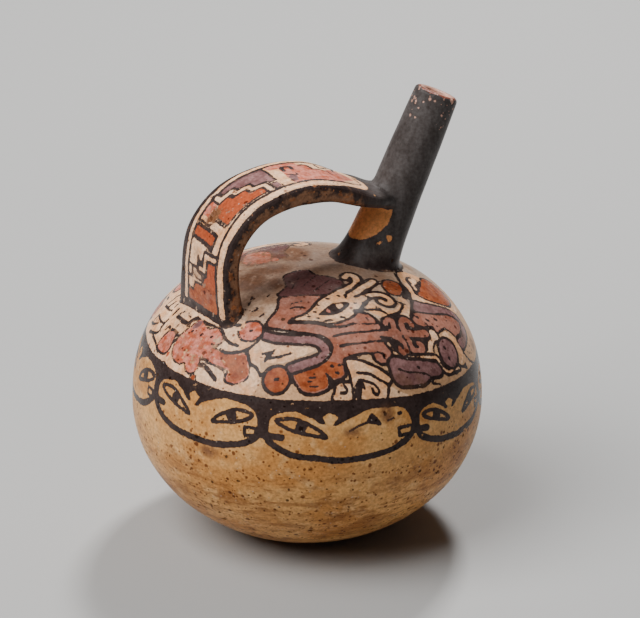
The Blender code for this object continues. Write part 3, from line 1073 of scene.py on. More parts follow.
def paint_crest(panel, plain):
    """The crest that the creature carries before it, behind the foot of the strap."""
    panel.area("cream", smooth(
        (-92, 8), (-50, 6), (-48, -7), (-40, -26), (-30, -40), (-19, -48), (-20, -60), (-22, -70),
        (-40, -80), (-64, -70), (-84, -40), (-94, -10)))
    body = smooth(
        (-61.4, -38), (-58.8, -33.4), (-54, -31), (-50, -30.4), (-46, -29), (-43.8, -30.4),
        (-43.2, -33.4), (-41.4, -36.6), (-37.8, -38.2), (-36.2, -40.6), (-35.8, -44.6),
        (-37, -46.6), (-41, -46.8), (-38.4, -49.4), (-34, -52.8), (-31, -54), (-27.4, -54.6),
        (-25.6, -57), (-25.4, -62), (-26.6, -66), (-31, -67), (-36, -65.6), (-37, -62.4),
        (-35.4, -60), (-40, -56.4), (-44, -52.6), (-47, -48.8), (-48.4, -51), (-50.6, -53),
        (-54, -52.6), (-56, -49.6), (-55.6, -46.6), (-58.6, -45), (-60.6, -42))
    panel.area("pink", body, 0.8)
    leg = smooth(
        (-38, -50), (-34, -53.4), (-31, -54.6), (-28, -55.2), (-26.4, -57.4), (-26.2, -62),
        (-27.2, -65.2), (-31, -66), (-35, -64.8), (-35.8, -62.4), (-34.4, -59.6), (-37, -56.6))
    panel.area("orange", leg)
    panel.area("pink", smooth(
        (-69, -25), (-64, -23.4), (-59.6, -24.6), (-58, -28), (-60, -32), (-64, -34), (-68, -30.4)),
        1.2)
    panel.disc("pink", -63.6, -35.4, 1.8, 1.2, 0, 0)
    panel.area("maroon", smooth((-49.4, -31.6), (-46.6, -29.6), (-44.2, -31), (-46, -33.2)))
    panel.strokes(
        (1.6, (-44.4, -28.6), (-42.2, -33), (-38.6, -37), (-35.6, -39.4), (-35.2, -44),
         (-32.6, -48.4), (-29.6, -50.6)),
        (1.2, (-41.4, -45.4), (-39.2, -47.2), (-36.8, -46.4)),
        (1.6, (-37.6, -49.4), (-34, -52.6), (-29, -53.7), (-25, -53.4), (-22, -51.6), (-19, -49)),
        (1.6, (-25.6, -54.4), (-24.8, -60), (-22, -62.6), (-20.2, -66.6)),
        (1.2, (-47.4, -49), (-43, -53.6), (-38.2, -57.8), (-36.8, -60.8), (-37.4, -64),
         (-34, -66.6)),
        (2.1, (-48.6, -51.2), (-47, -52.6), (-44.4, -56.4), (-42, -61.6)),
        (1.2, (-59.4, -32.2), (-56, -31.2), (-52.4, -30.2)),
    )
    panel.disc("pink", -23.4, -45, 5.5, 5.1, 1.3, 1.3)
    panel.disc("orange", -53, -55, 1.7, 1.5, 0.7, 0)
    if plain:
        return
    panel.strokes(
        (1.5, (-73.4, -7), (-71.8, -12), (-68.2, -16.8), (-65, -16), (-61.2, -15.1)),
        (1.5, (-58.4, -14.6), (-55.2, -13.5)),
        (1.4, (-71.6, -15), (-70, -22), (-69.6, -28)),
        (1.2, (-66.6, -3), (-65.9, -9.8), (-63.7, -15)),
        (1.3, (-62.6, -0.5), (-60.4, -8), (-58.8, -10.6)),
        (1.3, (-60.4, -4.8), (-56, -5), (-53.4, -5.4)),
        (1.3, (-57.2, -9.4), (-54.2, -9.2)),
        (1.2, (-60.8, -0.6), (-55.4, -1), (-53.8, -4.8)),
        (1.3, (-71.6, -1), (-70.2, -6.6), (-67.6, -10.2)),
        (1.1, (-69.6, -3), (-66.6, -3.2)),
        (1.2, (-63.6, -20.6), (-61, -20.5), (-60.3, -22.2)),
        (1.3, (-59.9, -23.8), (-57.6, -27.4), (-56.8, -30.4)),
        (1.1, (-56.4, -17.7), (-54.4, -17.7), (-52.6, -18.4)),
        (2.0, (-56, -18.4), (-53.9, -23.7), (-52, -26.6), (-50.8, -28.6)),
        (2.2, (-51.4, -27.6), (-48.4, -27.2), (-45.4, -28.2)),
        (0.8, (-50.8, -21), (-49.9, -25)),
    )
    panel.dots(1.3, (-45.2, -38.2), (-40.9, -41.8), (-49.4, -33.4), (-56.7, -24.5))
    for x, y in ((-56, -38), (-51.6, -41), (-46, -44), (-53.6, -35.4), (-50.4, -47.4), (-33, -58),
                 (-29.4, -62), (-65.6, -28), (-62.4, -30.4), (-42.4, -49.4), (-58.6, -41),
                 (-47.6, -36), (-41, -47.6), (-68.8, -10)):
        panel.stain_and_shade_patch(x, y, 1.0, 0.7)
    panel.strokes(
        (1.0, (-24, -30.2), (-22.4, -25.4)),
        (1.1, (-19.4, -38.4), (-17.4, -36.9)),
        (0.9, (-16.2, -26.2), (-15.2, -24.9)),
        (1.1, (-22.4, -34.6), (-20.2, -33.8), (-20.8, -32.6)),
    )
    worn = (panel.flat[:, 0] < -34) & (panel.flat[:, 1] < -20)
    worn &= np.hypot(*panel.flat.T) < CREST_RUB_WITHIN
    rubbed[panel.chosen[worn]] = CREST_RUB


# ---------------------------------------------------------------------------
# The belt and the row of heads. A broad black belt closes the shoulder, and from it hangs a row of
# eight flat heads side by side, each with two almond eyes under joined brows and a barred mouth at
# its ends, on the bare buff clay of the lower body.
# ---------------------------------------------------------------------------
ROW_START = -218.0

# The belt's upper and lower edge, by bearing, as the distance from the crown in millimetres
BELT = (
    (-218, 76.4, 80.0), (-150, 77.6, 81.2), (-120, 78.0, 82.2), (-108, 78.4, 83.6),
    (-95, 79.4, 83.6), (-82, 82.0, 85.8), (-65, 83.6, 88.4), (-45, 85.3, 90.2),
    (-10, 86.0, 90.6), (45, 84.5, 89.2), (95, 81.0, 85.6), (142, 76.4, 80.0),
)

# The heads: left and right bearing, top edge at both ends, depth, and whether one eye is worn off
HEADS = (
    (-218, -179, 80.6, 80.4, 0.97, False),
    (-179, -133, 80.6, 81.2, 0.97, False),
    (-133, -80.5, 82.0, 84.2, 1.0, True),
    (-80.5, -42, 87.2, 90.8, 0.84, False),
    (-42, 2, 90.6, 90.6, 0.88, False),
    (2, 48, 90.4, 89.4, 0.94, False),
    (48, 95, 89.0, 85.8, 0.97, False),
    (95, 142, 85.4, 80.6, 0.97, False),
)
HEAD_EDGE = 2.9
HEAD_HALF_WIDTH = 0.462
HEAD_MIDDLE = 9.2
HEAD_HALF_DEPTH = 9.6
HEAD_TOP_FULLNESS = 4.0
HEAD_CHIN_FULLNESS = 2.1
HEAD_SIDES = 48
HEAD_TIE = 6.4
FACE_WIDTH = 1.01
EYE_LINE = 1.7


def row_place(bearing, run):
    return np.radians(bearing) * BELLY_RADIUS / MM, run


def head_place(head, across, down):
    """A place on a head, as a share of its width and millimetres below its top."""
    left, right, top_left, top_right, depth, _ = head
    top = top_left + (top_right - top_left) * across
    return row_place(left + (right - left) * across, top + down * depth)


def head_outline(head):
    """Boxy above and round below."""
    line = []
    for turn in np.linspace(0, 2 * math.pi, HEAD_SIDES + 1):
        fullness = HEAD_TOP_FULLNESS if math.sin(turn) < 0 else HEAD_CHIN_FULLNESS
        across, down = (math.copysign(abs(way) ** (2 / fullness), way)
                        for way in (math.cos(turn), math.sin(turn)))
        line.append(head_place(head, 0.5 + HEAD_HALF_WIDTH * across,
                               HEAD_MIDDLE + HEAD_HALF_DEPTH * down))
    return line


def paint_belt(panel):
    bearing, upper, lower = np.array(BELT).T
    x = row_place(bearing, 0)[0]
    upper = np.interp(panel.flat[:, 0], x, upper)
    lower = np.interp(panel.flat[:, 0], x, lower)
    run = panel.flat[:, 1]
    everywhere = np.arange(len(run))
    paint["buff"][panel.chosen] = (upper + lower) / 2 - run
    panel.lay("black", everywhere, np.maximum(upper - run, run - lower))


def paint_heads(panel):
    found = [panel.off_area(head_outline(head)) for head in HEADS]
    for head, (near, distance) in zip(HEADS, found):
        panel.ink(near, distance - HEAD_EDGE)
        panel.stroke(HEAD_TIE, head_place(head, 0.0, -1.0), head_place(head, 0.0, 3.4))
    for near, distance in found:
        panel.wipe(near, distance)
    for head in HEADS:
        def at(*places):
            return [head_place(head, across, down) for across, down in places]

        brows = at((0.14, -2), (0.24, 0.6), (0.31, 2.4), (0.365, 4.9), (0.4, 4.8), (0.372, 1.9),
                   (0.42, 0.3), (0.475, 2.2), (0.44, 5.4), (0.462, 6), (0.53, 3.4), (0.63, 0.8),
                   (0.78, -2), (0.14, -2))
        panel.area("black", brows)
        for flip in (False, True):
            def side(*places):
                flipped = [(FACE_WIDTH - across, down) for across, down in places]
                return at(*(flipped if flip else places))

            if flip and head[-1]:
                continue
            eye = smooth(*side(
                (0.085, 4.2), (0.2, 3), (0.315, 6), (0.4, 10.4), (0.3, 9.6), (0.17, 7.4)))
            near, distance = panel.off_area(eye)
            panel.ink(near, abs(distance) - EYE_LINE / 2)
            panel.area("black", oval(*side((0.245, 6.4))[0], 2.3, 2.6))
        if head[-1]:
            panel.area("black", smooth(*at(
                (0.66, 5), (0.69, 1.4), (0.73, 4), (0.755, 7.2), (0.7, 6.6))))
            panel.stroke(1.2, *at((0.55, 8), (0.61, 6), (0.68, 5.2)))
            panel.stroke(1.0, *at((0.8, 5.6), (0.84, 4.8)))
            panel.dots(1.6, *at((0.89, 3.6)))
        panel.stroke(3.0, *at((-0.03, 10.6), (0.12, 11.2)))
        panel.stroke(1.5, *at((1.0, 9.6), (0.87, 9.6), (0.875, 13), (0.94, 12.8)), straight=True)


# ---------------------------------------------------------------------------
# The painted shoulder, belt and underside. The far side is painted first and more plainly, then
# the side that was meant to be seen. Round its root the spout's black slip runs on to the body.
# ---------------------------------------------------------------------------
FIGURE_TURN = math.radians(28.4)
FAR_SIDE_FROM = 6.0
FAR_SIDE_SHIFT = 7.0
NEAR_SIDE_TO = 14.0
NEAR_FRETS_TO = 5.0
SHOULDER_RUN = 96.0
SPOUT_SLIP_REACH = 15.2
CROWN_RUN = 40.0
CROWN_RUB = 0.5
BUFF_FROM = 80.0
ROW_RUNS = (68.0, 116.0)


def figure_plan(x, y):
    """The plan of the shoulder turned so that the creature stands upright on it."""
    c, s = math.cos(FIGURE_TURN), math.sin(FIGURE_TURN)
    return np.stack([c * x - s * y, s * x + c * y], 1)


def paint_shoulder(panel, plain):
    paint_tail(panel, plain)
    paint_head(panel, plain)
    paint_fret(panel, plain)
    paint_bands(panel, plain)
    paint_crest(panel, plain)


run = np.hypot(place[:, 0], place[:, 1])
on_body = piece == BODY
on_shoulder = on_body & (run < SHOULDER_RUN)
far_plan = figure_plan(place[:, 0], FAR_SIDE_SHIFT - place[:, 1])
far_side = Panel(on_shoulder & (place[:, 1] > FAR_SIDE_FROM), far_plan)
near_plan = figure_plan(place[:, 0], place[:, 1])
seen = (place[:, 1] < NEAR_SIDE_TO) | (near_plan[:, 1] < NEAR_FRETS_TO)
near_side = Panel(on_shoulder & seen, near_plan)
crown = Panel(on_shoulder & (run < CROWN_RUN), near_plan)
paint_shoulder(far_side, True)
paint_shoulder(near_side, False)
crown.area("pink", smooth((-27, 8), (-24, 3.5), (-16, 4), (-14.6, 12), (-17, 18), (-25, 18)), 0.8)
crown.area("pink", oval(-13.6, 6.4, 1.8, 2.2))
rubbed[crown.chosen[crown.flat[:, 1] > 0]] = CROWN_RUB
# Painted shade: brown patches on the crown under the strap
crown.stain_and_shade_patch(-20, 10, 9, 9)
crown.stain_and_shade_patch(-6, 12, 7, 8)

# Painted shadow: brown patches on the ground under the strap
near_side.stain_and_shade_patch(-23, -13, 6, 7)
near_side.stain_and_shade_patch(-15, -4, 8, 4)
near_side.stain_and_shade_patch(-13, -17, 2.6, 4)

# The painted edge where the strap stands on the shoulder
foot_line = eased((-54, -4), (-52, -10), (-49.4, -16), (-46.2, -22), (-42, -28.2), (-37, -34.4),
                  (-33, -38), (-28, -40.8))
near_side.band("cream", [foot_line], 5.4)
near_side.band("black", [foot_line], 2.0)

bearing = np.degrees(np.arctan2(place[:, 1], place[:, 0]))
bearing = (bearing - ROW_START) % 360 + ROW_START
paint["buff"][on_body] = BUFF_FROM - run[on_body]
in_row = on_body & (run > ROW_RUNS[0]) & (run < ROW_RUNS[1])
row = Panel(in_row, np.stack(row_place(bearing, run), 1))
paint_belt(row)
paint_heads(row)
row.stain_and_shade_patch(*head_place(HEADS[2], 0.8, 2.5), 2.6, 3.4)
row.stain_and_shade_patch(*head_place(HEADS[2], 0.57, 8.6), 3.2, 1.2)
row.stain_and_shade_patch(*head_place(HEADS[1], 0.6, 24), 3.5, 2.0)

offset = points - np.array(SPOUT_ROOT)
off_axis = offset - np.outer(offset @ np.array(spout_axis), spout_axis)
reach = np.linalg.norm(off_axis, axis=1) / MM - SPOUT_SLIP_REACH + tremor[:, 0]
near_spout = np.flatnonzero(on_shoulder & (reach < REACH))
whole = Panel(np.ones(len(points), bool), place)
whole.lay("black", near_spout, reach[near_spout])


# ---------------------------------------------------------------------------
# The painted strap. Its outer face is a long panel of stepped frets in orange, maroon and pink
# between two cream borders. Its sides are black, rubbed down to orange clay where hands have held
# it, and its underside was left bare.
# ---------------------------------------------------------------------------
BORDER = 4.4
FAR_BORDER_CUT = 1.3
STRAP_LINE = 1.6
PANEL_START, PANEL_END = 10.5, 115.5
PANEL_INSET = 1.2
PANEL_ROUNDING = 5.0
PANEL_ROUNDING_POWER = 0.4
PANEL_ROUND_FROM = 102
LINE_END = 105.0
BARE_FROM = 10.4
BARE_END = 112.0
SIDE_WEAR = 1.42
SIDE_WEAR_MIDDLE = 4.0
SIDE_WEAR_FADE = 2.9
SIDE_WEAR_END = 12.0
LEAST_RUB = 0.2
# How far the painted panel stays back from the strap's two edges, by distance from the shoulder
NEAR_TRIM = ((0, 0.0), (95, 0.0), (100, 1.8), (105, 3.2), (120, 3.6))
FAR_TRIM = ((0, 6.0), (100, 0.0), (120, 0.0))


def panel_edge(run, inset, trim):
    """How far the strap's painted panel reaches from its middle; the spout's end is rounded."""
    half = strap_size(run * MM)[0] / 2 / MM - inset - float(np.interp(run, *zip(*trim)))
    left = max(PANEL_END - inset - run, 0.0) / PANEL_ROUNDING
    return half * min(1.0, left) ** PANEL_ROUNDING_POWER


def strap_panel_outline(inset, cut=0.0):
    runs = np.r_[np.arange(PANEL_START, PANEL_ROUND_FROM, 6),
                 np.linspace(PANEL_ROUND_FROM, PANEL_END - inset, 12)]
    far = [(run, panel_edge(run, inset - cut, FAR_TRIM)) for run in runs]
    front = [(run, -panel_edge(run, inset, NEAR_TRIM)) for run in reversed(runs)]
    return np.array(far + front + far[:1])


def paint_strap(panel):
    everywhere = np.arange(len(panel.chosen))
    half = np.interp(panel.flat[:, 0], np.array(strap_runs) / MM,
                     [strap_size(run)[0] / 2 / MM for run in strap_runs])
    past_edge = abs(panel.flat[:, 1]) - half
    panel.lay("black", everywhere, np.full(len(half), -FAR))
    run_left = BARE_END - panel.flat[:, 0]
    panel.wipe(everywhere, np.maximum(BARE_FROM - past_edge, -run_left))
    paint["bare"][panel.chosen] = -past_edge - 0.5
    paint["buff"][panel.chosen] = np.clip(run_left, -FAR, FAR)
    wear = np.clip(SIDE_WEAR - abs(past_edge - SIDE_WEAR_MIDDLE) / SIDE_WEAR_FADE, 0, 1)
    wear *= np.clip(run_left / SIDE_WEAR_END, 0.1, 1)
    rubbed[panel.chosen] = np.maximum(wear, LEAST_RUB)

    def area(slip, *corners, edge=1.1):
        panel.area(slip, corners + corners[:1], edge)

    panel.area("cream", strap_panel_outline(PANEL_INSET))
    area("orange", (11, -14), (31.2, -11.4), (31.2, -5.6), (25, -5.2), (24.4, -3.6), (20.4, -1.2),
         (20, 4), (16.4, 4.8), (16.2, 9.6), (11, 9.6))
    panel.strokes(
        (1.3, (20.4, -1.4), (24.6, -1.6), (24.8, 2.2)),
        (0.9, (22.2, -1), (21.8, 3.4), (23.4, 5.6)),
        (1.5, (34.2, -11), (33.9, -2.8), (29.4, -1.4), (28.8, 0), (30.6, 2.2), (26.2, 2.4),
         (26, 6.2), (21.8, 6.4), (21.4, 9.6)),
        (1.0, (26, 6.2), (26.4, 8.8)),
        straight=True,
    )
    panel.band("cream", [[(33, -10.6), (32.6, -3.6), (26.6, -3.4), (26.6, 0.4)]], 2.1, 1.1)
    panel.stain_and_shade_patch(23, 2.6, 2.2, 4)
    panel.stain_and_shade_patch(31.4, 3.4, 1.6, 2.4)
    area("orange", (36.2, -7), (41, -7), (41, 9.6), (36.2, 9.6), edge=1.6)
    panel.stroke(1.0, (45.4, -9.6), (45.2, -1), (42.6, 0.4), (42.6, 9.6), straight=True)
    area("orange", (46.2, -9.8), (65.4, -9.8), (65.2, -5), (60.2, -4.6), (60, -1), (55, -0.4),
         (54.4, 3), (49.6, 3.6), (46.2, -0.6), edge=0.9)
    area("pink", (44.4, 4.6), (50, 4.2), (50, 9.8), (44.4, 9.8), edge=0)
    area("maroon", (68.8, -3.6), (72, -3.6), (72, 9.8), (53.4, 9.8), (53.6, 6.2), (58.4, 5.8),
         (58.8, 2.4), (63.2, 2), (63.6, -1.6), (68.6, -2))
    area("maroon", (69, -10), (72, -10), (72, -5), (69, -5), edge=0.8)
    steps = [
        (67, -10.2), (66.8, -3.6), (62, -3.2), (61.6, 0.4), (57, 1), (56.6, 4.4), (51.8, 5),
        (51.6, 10)]
    panel.band("cream", [steps], 2.3, 0.8)
    area("pink", (76.4, -10.8), (94, -10.4), (99, -8), (104, -3.6), (109.6, 0), (109, 7), (103, 9),
         (98, 5.4), (94.6, 2), (90, 2.4), (89.6, 7), (86, 7.4), (85.6, 12), (73, 10.4), (73, 5.6),
         (76.4, 5), edge=0)
    area("maroon", (76.6, -9), (79, -8.6), (80.8, -3.6), (78.6, -2.6), (76.6, -5), edge=0)
    panel.strokes(
        (1.0, (77.2, -2.4), (78.6, -2.2), (80.6, -3.8), (81.4, -1.6)),
        (1.7, (77.8, 2), (78.2, 5.8), (81.4, 5.8), (81.6, 2.6)),
    )
    panel.stroke(1.2, (86, 6.4), (87.8, 7.6), (89.6, 6.6), (89.8, 2.2), (94.6, 1.4), (96.2, 0.4),
                 (96.4, -1.8), straight=True)
    panel.strokes(
        (1.2, (93.8, 4.4), (94.4, 8.8)),
        (1.0, (95, 4.4), (98.6, 7.8), (102.4, 10.6)),
        (1.1, (100.6, 4.4), (102.4, 8), (104, 10.6)),
        (0.9, (105, -6), (109.6, -4.6), (111.4, -2), (111.8, 2), (111.4, 6)),
    )
    panel.stain_and_shade_patch(104, -3.4, 4, 1.2)
    inner = strap_panel_outline(PANEL_INSET + BORDER, FAR_BORDER_CUT)
    near, distance = panel.off_area(inner)
    panel.ink(near, np.maximum(abs(distance) - STRAP_LINE / 2, panel.flat[near, 0] - LINE_END))
    panel.stain_and_shade_patch(46, 1, 3.0, 3.2)
    panel.stain_and_shade_patch(43, 4, 2.0, 1.4)


paint_strap(Panel(piece == STRAP, place))


# ---------------------------------------------------------------------------
# The finish of the spout, the chips and the inside. The spout is all black slip but for its lip and
# a patch that the brush missed under the strap. Chips and the inside of the walls are bare clay.
# ---------------------------------------------------------------------------
SPOUT_GIRTH_RADIUS = 10.5
LIP_SLIP = 0.6
TIP_RUB = 0.5
TIP_RUB_AT_LIP = 1.2
TIP_RUB_LENGTH = 14.0


def paint_spout(panel):
    everywhere = np.arange(len(panel.chosen))
    panel.lay("black", everywhere, np.full(len(everywhere), -FAR))
    missed = smooth(
        (13, -2), (13.6, 4), (17, 8), (21, 10.6), (26, 12.2), (30, 12), (35, 8), (36, 0), (35, -8),
        (26, -10), (18, -8.4))
    for line in (missed, smooth((20, 13.4), (20.2, 15.6), (18, 15.4), (18.6, 14.2)),
                 smooth((17.4, 12.6), (16.4, 12.8), (14.8, 11.4), (15.4, 11))):
        near, distance = panel.off_area(line)
        panel.wipe(near, distance)
    past_lip = panel.flat[:, 0] - spout_length / MM
    panel.lay("pink", everywhere, -LIP_SLIP - past_lip)
    paint["bare"][panel.chosen] = -FAR
    paint["buff"][panel.chosen] = -FAR
    rub_share = np.clip(TIP_RUB_AT_LIP + past_lip / TIP_RUB_LENGTH, 0, 1)
    rubbed[panel.chosen] = TIP_RUB * rub_share


turn = place[:, 1] % 360 - 180
around = np.stack([place[:, 0], np.radians(turn) * SPOUT_GIRTH_RADIUS], 1)
paint_spout(Panel(piece == SPOUT, around))

knocked = np.flatnonzero(chipped < REACH)
whole.wipe(knocked, chipped[knocked])
paint["bare"][knocked] = np.minimum(paint["bare"][knocked], chipped[knocked])
for slip in SLIPS:
    paint[slip][piece == INSIDE] = FAR
paint["bare"][piece == INSIDE] = -FAR

# The points where two pieces were cut into each other take what their neighbours have
seam = ~np.isin(piece, (BODY, STRAP, SPOUT, INSIDE))
while seam.any():
    known = (~seam).astype(float)
    count = neighbour_sum(known)
    ready = seam & (count > 0)
    if not ready.any():
        break
    for values in (*paint.values(), rubbed):
        values[ready] = (neighbour_sum(values * known) / np.maximum(count, 1))[ready]
    seam &= ~ready


# ---------------------------------------------------------------------------
# The painted clay. Iron-rich clay fired to a warm buff, slips burnished to a soft sheen, and what
# long burial left on it: rubbed edges, pits, brown stains and a grey film on the shoulder. Some of
# it is painted light: the grey film is partly painted sheen, the top of the crown and brown patches
# under the strap are painted shade, and the bare clay on the spout is lightened as painted light.
# ---------------------------------------------------------------------------
PAINT_LAYERS = {
    "light_slips": ("cream", "pink", "orange"),
    "dark_slips": ("red", "maroon", "black"),
    "grounds": GROUNDS,
}
SHOULDER_CLAY = (0.64, 0.43, 0.29)
SHOULDER_DIRT = (0.40, 0.23, 0.135)
SHOULDER_GREY = (0.46, 0.34, 0.25)
# Painted shade for the ground on the top of the crown, under the strap
CROWN_SHADE = (0.27, 0.165, 0.11)
BELT_CLAY = (0.66, 0.38, 0.20)
BUFF_CLAY = (0.71, 0.375, 0.132)
DARK_BUFF = (0.56, 0.25, 0.070)
PALE_BUFF = (0.75, 0.44, 0.185)
BARE_CLAY = (0.44, 0.17, 0.065)
DARK_BARE = (0.26, 0.09, 0.032)
# Painted light: bare clay on the spout, much lighter than bare clay elsewhere
LIT_SPOUT_CLAY = (0.87, 0.365, 0.13)
LIP_CLAY = (0.62, 0.35, 0.26)
STREAK = (0.27, 0.095, 0.025)
FINE_STREAK = (0.22, 0.075, 0.022)
# Brown of the stains, and of the painted shade under the strap, on clay and on slips
STAIN_AND_SHADE = (0.17, 0.07, 0.03)
STAIN_AND_SHADE_ON_SLIP = (0.20, 0.095, 0.05)
SPOUT_BLACK = (0.090, 0.080, 0.077)
DARK_SPOUT_BLACK = (0.058, 0.049, 0.046)
THINNED_BLACK = (0.29, 0.145, 0.078)
THICK_MAROON = (0.135, 0.060, 0.056)
LIP_PINK = (0.23, 0.064, 0.038)
STRAP_ORANGE = (0.42, 0.085, 0.031)
MOTTLE_DARK = (0.74, 0.70, 0.68)
MOTTLE_LIGHT = (1.16, 1.16, 1.16)
# A grey film, partly real and partly painted sheen on the top of the shoulder
GREY_FILM_AND_SHEEN = (0.30, 0.25, 0.22)
FRECKLE = (0.24, 0.13, 0.09)
PIT_DIRT = (0.055, 0.026, 0.012)
PALE_SPECK = (0.55, 0.46, 0.38)
CLAY_ROUGHNESS = 0.36
SLIP_ROUGHNESS = 0.20
BARE_ROUGHNESS = 0.34
SPOUT_ROUGHNESS = 0.36
DULL_ROUGHNESS = 0.38
PIT_ROUGHNESS = 0.9
PIT_WANDER = 0.0007
PIT_LEAST_WIDTH = 0.12
PIT_WIDTH_SPREAD = 0.22
SLIP_EDGE = 0.13
# Spots of clay that show through the black near the lip: size, share and seed
LIP_FLECKS = ((2.8, 1.1, 51.0), (1.9, 1.3, 53.0))
# The relief of grain, lumps and scraping: size, depth and flatness
GRAIN = ((0.5, 0.03, 1.0), (2.2, 0.06, 1.0), (5.0, 0.12, 3.0))

for name, kinds in PAINT_LAYERS.items():
    layer = jug.data.attributes.new(name, "FLOAT_VECTOR", "POINT")
    values = np.stack([paint[kind] for kind in kinds], 1)
    layer.data.foreach_set("vector", values.astype(np.float32).ravel())
layer = jug.data.attributes.new("rubbed", "FLOAT", "POINT")
layer.data.foreach_set("value", rubbed.astype(np.float32))
for name in ("piece", "place"):
    jug.data.attributes.remove(jug.data.attributes[name])


def ramp(tree, value, start, end, low=0.0, high=1.0):
    """Eases from low to high while the value goes from start to end."""
    links = {"Value": value, "From Min": start, "From Max": end, "To Min": low, "To Max": high}
    return add_node(tree, "ShaderNodeMapRange", links,
                    interpolation_type="SMOOTHSTEP").outputs["Result"]


def mix(tree, share, under, over, blend="MIX"):
    node = add_node(tree, "ShaderNodeMix", {"Factor": share}, data_type="RGBA", blend_type=blend)
    for socket, value in ((node.inputs[6], under), (node.inputs[7], over)):
        if isinstance(value, bpy.types.NodeSocket):
            tree.links.new(value, socket)
        else:
            socket.default_value = (*value, 1.0)
    return node.outputs[2]


def patches_tree():
    """Irregular patches of a size in millimetres, 0 outside them and 1 inside. Flatness above 1
    draws them out level round the pot."""
    tree, start, end = group_tree(
        "irregular patches", "ShaderNodeTree",
        {"Size": "Float", "Start": "Float", "Full": "Float", "Flatness": "Float", "Seed": "Float"},
        {"Amount": "Float", "Height": "Float"},
    )
    given, result = start.outputs, end.inputs
    place = add_node(tree, "ShaderNodeTexCoord").outputs["Object"]
    stretch = add_node(tree, "ShaderNodeCombineXYZ", {"X": 1.0, "Y": 1.0, "Z": given["Flatness"]})
    place = vector_node(tree, "MULTIPLY", {0: place, 1: stretch.outputs[0]})
    per_size = math_node(tree, "DIVIDE", 1000.0, given["Size"])
    cloud = add_node(tree, "ShaderNodeTexNoise", {
        "Vector": place, "W": given["Seed"], "Scale": per_size, "Detail": 5.0, "Roughness": 0.6,
    }, noise_dimensions="4D").outputs["Fac"]
    tree.links.new(ramp(tree, cloud, given["Start"], given["Full"]), result["Amount"])
    tree.links.new(cloud, result["Height"])
    return tree


def pits_tree():
    """Small holes where grains fell out of the clay: cells of a size in millimetres, of which a
    share has a pit."""
    tree, start, end = group_tree(
        "pits", "ShaderNodeTree", {"Size": "Float", "Share": "Float", "Seed": "Float"},
        {"Pit": "Float"},
    )
    given, result = start.outputs, end.inputs
    place = add_node(tree, "ShaderNodeTexCoord").outputs["Object"]
    per_size = math_node(tree, "DIVIDE", 1000.0, given["Size"])
    wander = add_node(tree, "ShaderNodeTexNoise", {
        "Vector": place, "Scale": math_node(tree, "MULTIPLY", per_size, 1.6), "Detail": 2.0})
    place = vector_node(tree, "MULTIPLY_ADD", {
        0: wander.outputs["Color"], 1: 3 * (PIT_WANDER,), 2: place})
    place = vector_node(tree, "ADD", {0: place, 1: given["Seed"]})
    cells = add_node(tree, "ShaderNodeTexVoronoi", {"Vector": place, "Scale": per_size})
    pick = add_node(tree, "ShaderNodeSeparateColor", {"Color": cells.outputs["Color"]})
    chosen = math_node(tree, "LESS_THAN", pick.outputs[0], given["Share"])
    width = math_node(tree, "MULTIPLY_ADD", pick.outputs[1], PIT_WIDTH_SPREAD, PIT_LEAST_WIDTH)
    near = math_node(tree, "DIVIDE", cells.outputs["Distance"], width)
    hole = ramp(tree, near, 1.1, 0.6)
    tree.links.new(math_node(tree, "MULTIPLY", hole, chosen), result["Pit"])
    return tree


def slip_tree():
    """A slip brushed over what is under it. Outside is how far a point is out of the painted area,
    Ragged moves the edge, and Worn is how much of it is rubbed through."""
    tree, start, end = group_tree(
        "brushed slip", "ShaderNodeTree",
        {"Under": "Color", "Slip": "Color", "Outside": "Float", "Ragged": "Float", "Worn": "Float"},
        {"Color": "Color", "Cover": "Float"},
    )
    given, result = start.outputs, end.inputs
    outside = math_node(tree, "ADD", given["Outside"], given["Ragged"])
    cover = ramp(tree, outside, SLIP_EDGE, -SLIP_EDGE)
    kept = math_node(tree, "SUBTRACT", 1.0, given["Worn"])
    cover = math_node(tree, "MULTIPLY", cover, kept)
    tree.links.new(mix(tree, cover, given["Under"], given["Slip"]), result["Color"])
    tree.links.new(cover, result["Cover"])
    return tree


patches = patches_tree()
pits = pits_tree()
brushed = slip_tree()

clay.use_nodes = True
tree = clay.node_tree
tree.nodes.clear()
blend = partial(mix, tree)
ease = partial(ramp, tree)
add, subtract, times, multiply_add, least, most = (
    partial(math_node, tree, operation)
    for operation in ("ADD", "SUBTRACT", "MULTIPLY", "MULTIPLY_ADD", "MINIMUM", "MAXIMUM"))


def patch(size, start, full, flatness=1.0, seed=0.0, output="Amount"):
    links = {"Size": size, "Start": start, "Full": full, "Flatness": flatness, "Seed": seed}
    return add_node(tree, "ShaderNodeGroup", links, node_tree=patches).outputs[output]


def cloud(size, flatness=1.0, seed=0.0):
    """The soft noise that patches are cut out of."""
    return patch(size, 0.3, 0.7, flatness, seed, output="Height")


def pitted(size, share, seed=0.0):
    links = {"Size": size, "Share": share, "Seed": seed}
    return add_node(tree, "ShaderNodeGroup", links, node_tree=pits).outputs["Pit"]


def even(value):
    """A plain value in the form of a colour, so that roughness can be mixed like one."""
    return value, value, value


def read_layer(name):
    """The three distances of one paint layer."""
    layer = add_node(tree, "ShaderNodeAttribute", attribute_name=name)
    split = add_node(tree, "ShaderNodeSeparateXYZ", {"Vector": layer.outputs["Vector"]})
    return dict(zip(PAINT_LAYERS[name], split.outputs))


outside = {}
for name in PAINT_LAYERS:
    outside.update(read_layer(name))
rub = add_node(tree, "ShaderNodeAttribute", attribute_name="rubbed").outputs["Fac"]
height = add_node(tree, "ShaderNodeSeparateXYZ", {
    "Vector": add_node(tree, "ShaderNodeTexCoord").outputs["Object"]}).outputs["Z"]
by_height = partial(ease, height)
on_spout = times(ease(outside["buff"], FAR, -FAR), by_height(0.112, 0.120))
off_spout = subtract(1.0, on_spout)

